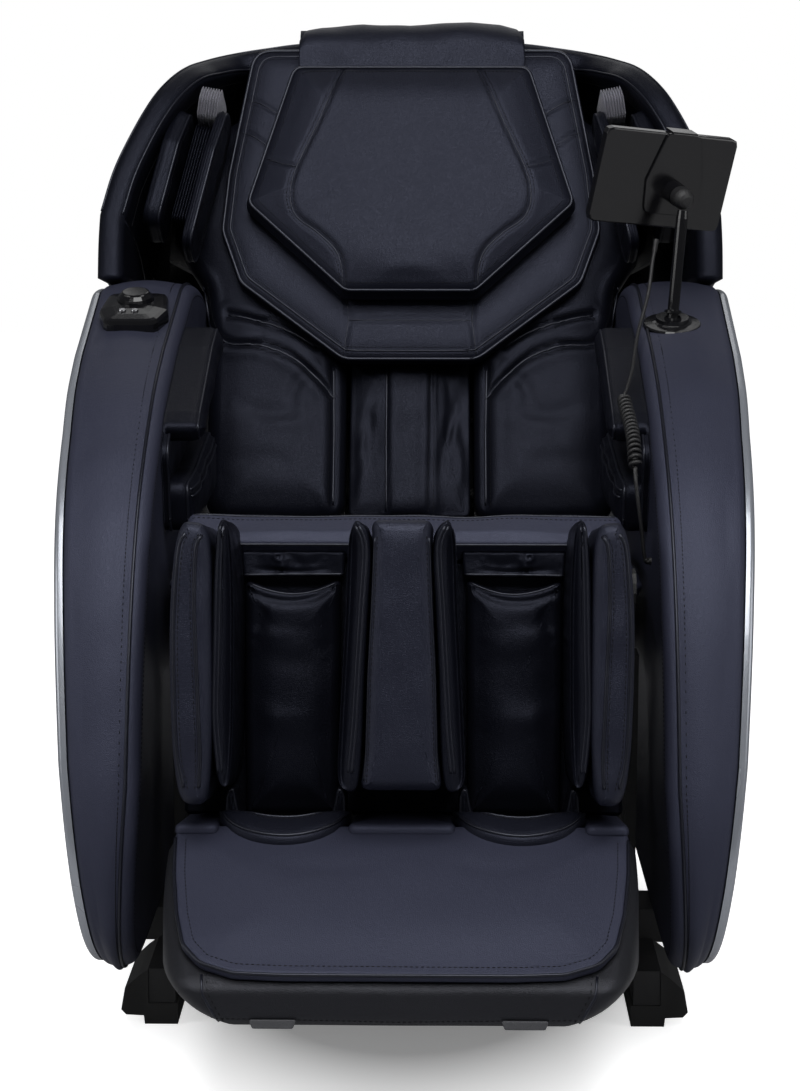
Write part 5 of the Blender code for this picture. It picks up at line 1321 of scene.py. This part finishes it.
def onSlope(grid):
    # point = top edge - up * run + (depth + above) * out
    top, low = np.array(lid["top"]), np.array(lid["low"])
    run = (low - top) / np.linalg.norm(low - top)
    out = (run[1], -run[0])
    depth = grid[..., 1] + lid["above"]
    return onLegs(np.stack((grid[..., 0], top[0] - grid[..., 2] * run[0] + depth * out[0],
                            top[1] - grid[..., 2] * run[1] + depth * out[1]), -1))


def footCover():
    outline = cornered(mirrored(lid["half"]), lid["corner"])
    edge, thickness = lid["edge"], lid["thickness"]
    grid = padGrid(outline, thickness, edge, lid["crown"], 36, 320, 0.003, 0.0,
                   together(creases(lid["folds"]), waves(160, 0.16, 0.0014)), 0.05)
    piece = soft("foot_lid", "foot_cover", "foot", onSlope(grid), "leather", 0.6)
    sewing = Sewing(piece, onSlope, "foot", "foot_cover")
    flat = lambda grid: grid
    rim = rimPath(flat, outline, edge, thickness, out=0.0006)
    start = int(np.argmax(rim[:, 2]))
    rim = np.roll(rim, -start, 0)
    sewing.beading(onSlope(rim[rim[:, 2] < -0.006]), 0.0019, (0, -1, 1), False)
    inner = np.roll(rimPath(flat, outline, lid["stitchesIn"], thickness), -start, 0)
    sewing.stitch(inner[inner[:, 2] < -0.012][:, ::2])
    sewing.finish()
    # the same leather goes on between the wells and outside them
    rear, front = lid["topsTo"], lid["topsFrom"]
    for k, (left, right, crown) in enumerate(lid["tops"]):
        outline = cornered([(left, front), (right, front), (right, rear), (left, rear)], 0.010)
        grid = padGrid(outline, 0.012, 0.006, crown, 16, 160, spread=0.02)
        extra("foot_top_%d" % k, "foot_cover", "foot", upward(onLegs, lid["topsFoot"])(grid), "leather", 0.6)


# ---- rims of the two wells: a crescent in front of each and an ear at each of its ends
collar = {"innerY": -0.082, "inner": (0.053, 0.026), "outerY": -0.086, "outer": (0.069, 0.058),
          "bed": -0.2515, "fall": 0.50, "fallFrom": -0.106, "thickness": 0.0170, "round": 0.6,
          "welts": [(0.10, 0.0016), (0.93, 0.0019)], "stitches": 0.24,
          "ear": [(0.0635, -0.2530), (0.0630, -0.2200), (0.0600, -0.2110), (0.0535, -0.2115),
                  (0.0500, -0.2300), (0.0440, -0.2530)],
          "earFront": -0.030, "earDepth": 0.060, "earEdge": 0.007}


def footCollars():
    # each rim is half an ellipse: (well + a cos bend, y - b sin bend), level with the lid's slope
    bend = math.pi * (1.02 - 1.04 * np.linspace(0, 1, 131))
    rise = np.clip(np.sin(bend), 0, 1)
    inner, outer = (np.stack((foot["wellAt"] + a * np.cos(bend), y - b * rise), 1)
                    for y, (a, b) in ((collar["innerY"], collar["inner"]), (collar["outerY"], collar["outer"])))
    turn = np.linspace(0, 2 * math.pi, 40, endpoint=False)
    across, up = (0.5 + 0.5 * np.sign(v) * np.abs(v) ** collar["round"] for v in (np.cos(turn), np.sin(turn)))
    edge, depth = collar["earEdge"], collar["earDepth"]
    for side, name in bothSides:
        slot = "foot_collar_" + name
        flat = inner[:, None] + (outer - inner)[:, None] * across[None, :, None]
        bed = collar["bed"] - collar["fall"] * np.clip(collar["fallFrom"] - flat[..., 1], 0, 1)
        thick = collar["thickness"] - 0.001 * across[None] + swell(inner, 170 + side, 0.05, 0.001)[:, None]
        grid = np.stack((side * flat[..., 0], flat[..., 1], bed + up[None] * thick), -1)
        piece = soft("well_rim_" + name, slot, "foot", onLegs(grid), "deeperShadeLeather", 0.8)
        sewing = Sewing(piece, upward(onLegs, 0.0), "foot", slot)
        for where, radius in collar["welts"]:
            line = inner + (outer - inner) * where
            sewing.pipe(line[3:-3] * (side, 1), radius, 0.1)
        sewing.stitch((inner + (outer - inner) * collar["stitches"])[3:-3] * (side, 1))
        sewing.finish()
        for k, mirror in enumerate((1, -1)):   # outer edge upright, sloping down into the well
            ear = [(side * (foot["wellAt"] + mirror * a), b) for a, b in collar["ear"]]
            outline = cornered(ear, 0.005)
            place = facing(onLegs, collar["earFront"])
            piece = extra("well_ear_%s_%d" % (name, k), slot, "foot",
                          place(padGrid(outline, depth, edge, 0.0, 8, 120, 0.006)), "softLeather", 0.7)
            sewing = Sewing(piece, place, "foot", slot)
            sewing.beading(rimPath(place, outline, edge, depth, 120), 0.0016, (0, -1, 0))
            sewing.finish()


footBox()
footCover()
footCollars()
print("foot box sewn")


# ---- tablet cord: hanging stretch, curly stretch and the run down to its socket
cordFacts = {"radius": 0.0022, "curl": 0.0062, "turns": 18, "steps": 16, "hint": (0.31, 0.95, 0.05),
             "bootLength": 0.018, "boots": {"top": (0.0034, 0.0026), "foot": (0.0042, 0.0026)},
             "upper": [(0.3010, 0.0250, 0.8640), (0.2990, 0.0200, 0.8540), (0.2950, 0.0070, 0.8350),
                       (0.2880, -0.0200, 0.8000), (0.2720, -0.0750, 0.7580), (0.2600, -0.1500, 0.7240),
                       (0.2500, -0.1950, 0.7050)],
             "bend": [(0.2455, -0.2080, 0.6990), (0.2475, -0.2330, 0.6865), (0.2500, -0.2600, 0.6730),
                      (0.2510, -0.2870, 0.6590), (0.2510, -0.3060, 0.6440), (0.2508, -0.3140, 0.6320)],
             "lower": [(0.2515, -0.3180, 0.6200), (0.2535, -0.3200, 0.6030), (0.2560, -0.3195, 0.5850),
                       (0.2590, -0.3170, 0.5650), (0.2610, -0.3150, 0.5480), (0.2625, -0.3135, 0.5370),
                       (0.2650, -0.3120, 0.5300), (0.2700, -0.3110, 0.5290)]}


def helix():
    # point = axis + radius * (cos(2 pi turn) * side + sin(2 pi turn) * other), easing in at both ends
    turns, steps = cordFacts["turns"], cordFacts["steps"]
    axis = evenly(flowing(cordFacts["bend"], 16), turns * steps + 1)
    t = tangents(axis, False)
    sides = np.zeros_like(axis)
    side = np.array((1.0, 0, 0))
    for k, along in enumerate(t):
        side = side - along * (side @ along)
        side /= np.linalg.norm(side)
        sides[k] = side
    other = np.cross(t, sides)
    turn = np.arange(len(axis)) / steps
    grow = np.minimum(1, np.minimum(turn, turns - turn) * 1.6)[:, None] * cordFacts["curl"]
    angle = (2 * math.pi * turn)[:, None]
    return axis + grow * (sides * np.cos(angle) + other * np.sin(angle))


def tabletCord():
    path = onChair(np.vstack((flowing(cordFacts["upper"], 6), helix(), flowing(cordFacts["lower"], 6))))
    radius, hint = cordFacts["radius"], cordFacts["hint"]
    tube = skinned("curly_cord", rope(path, radius, hint, 12), "base", looks["satin"], "tablet_cord")
    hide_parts("tablet_cord")
    for name, run in (("top", path[:9]), ("foot", path[:-10:-1])):
        run = evenly(run, 30)
        gone = np.concatenate(([0.0], np.cumsum(np.linalg.norm(np.diff(run, axis=0), axis=1))))
        run = run[gone < cordFacts["bootLength"]]
        width = np.linspace(*cordFacts["boots"][name], len(run)) + 0.0004 * np.cos(np.arange(len(run)) * 2.2)
        skinned("cord_boot_" + name, rope(run, width, hint, 16), "base", looks["satin"],
                             "tablet_cord")


tabletCord()


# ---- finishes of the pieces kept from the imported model
kept = {"matte": ["back_shell", "power_box", "air_pump", "massage_carriage"],
        # the calf housing takes the darkest painted-shade leather tone
        "softLeather": ["calf_housing"],
        "frame": ["base_frame", "back_frame", "kneading_arm_left", "kneading_arm_right"],
        "satin": ["mains_inlet", "recline_actuator", "tablet_knuckle"],
        "rubber": ["front_foot_left", "front_foot_right", "rear_wheels", "kneading_roller_left",
                   "kneading_roller_right", "sole_roller"],
        "chrome": ["actuator_rod"],
        "gloss": ["dial_base", "dial_knob", "post_flange", "tablet_post", "tablet_bracket", "tablet"],
        "ring": ["dial_button_left", "dial_button_right"]}


def keptFinishes():
    for look, names in kept.items():
        for name in names:
            mesh = nodes[name].data
            mesh.materials.clear()
            mesh.materials.append(looks[look])


keptFinishes()


# ---- last update
bpy.context.view_layer.update()
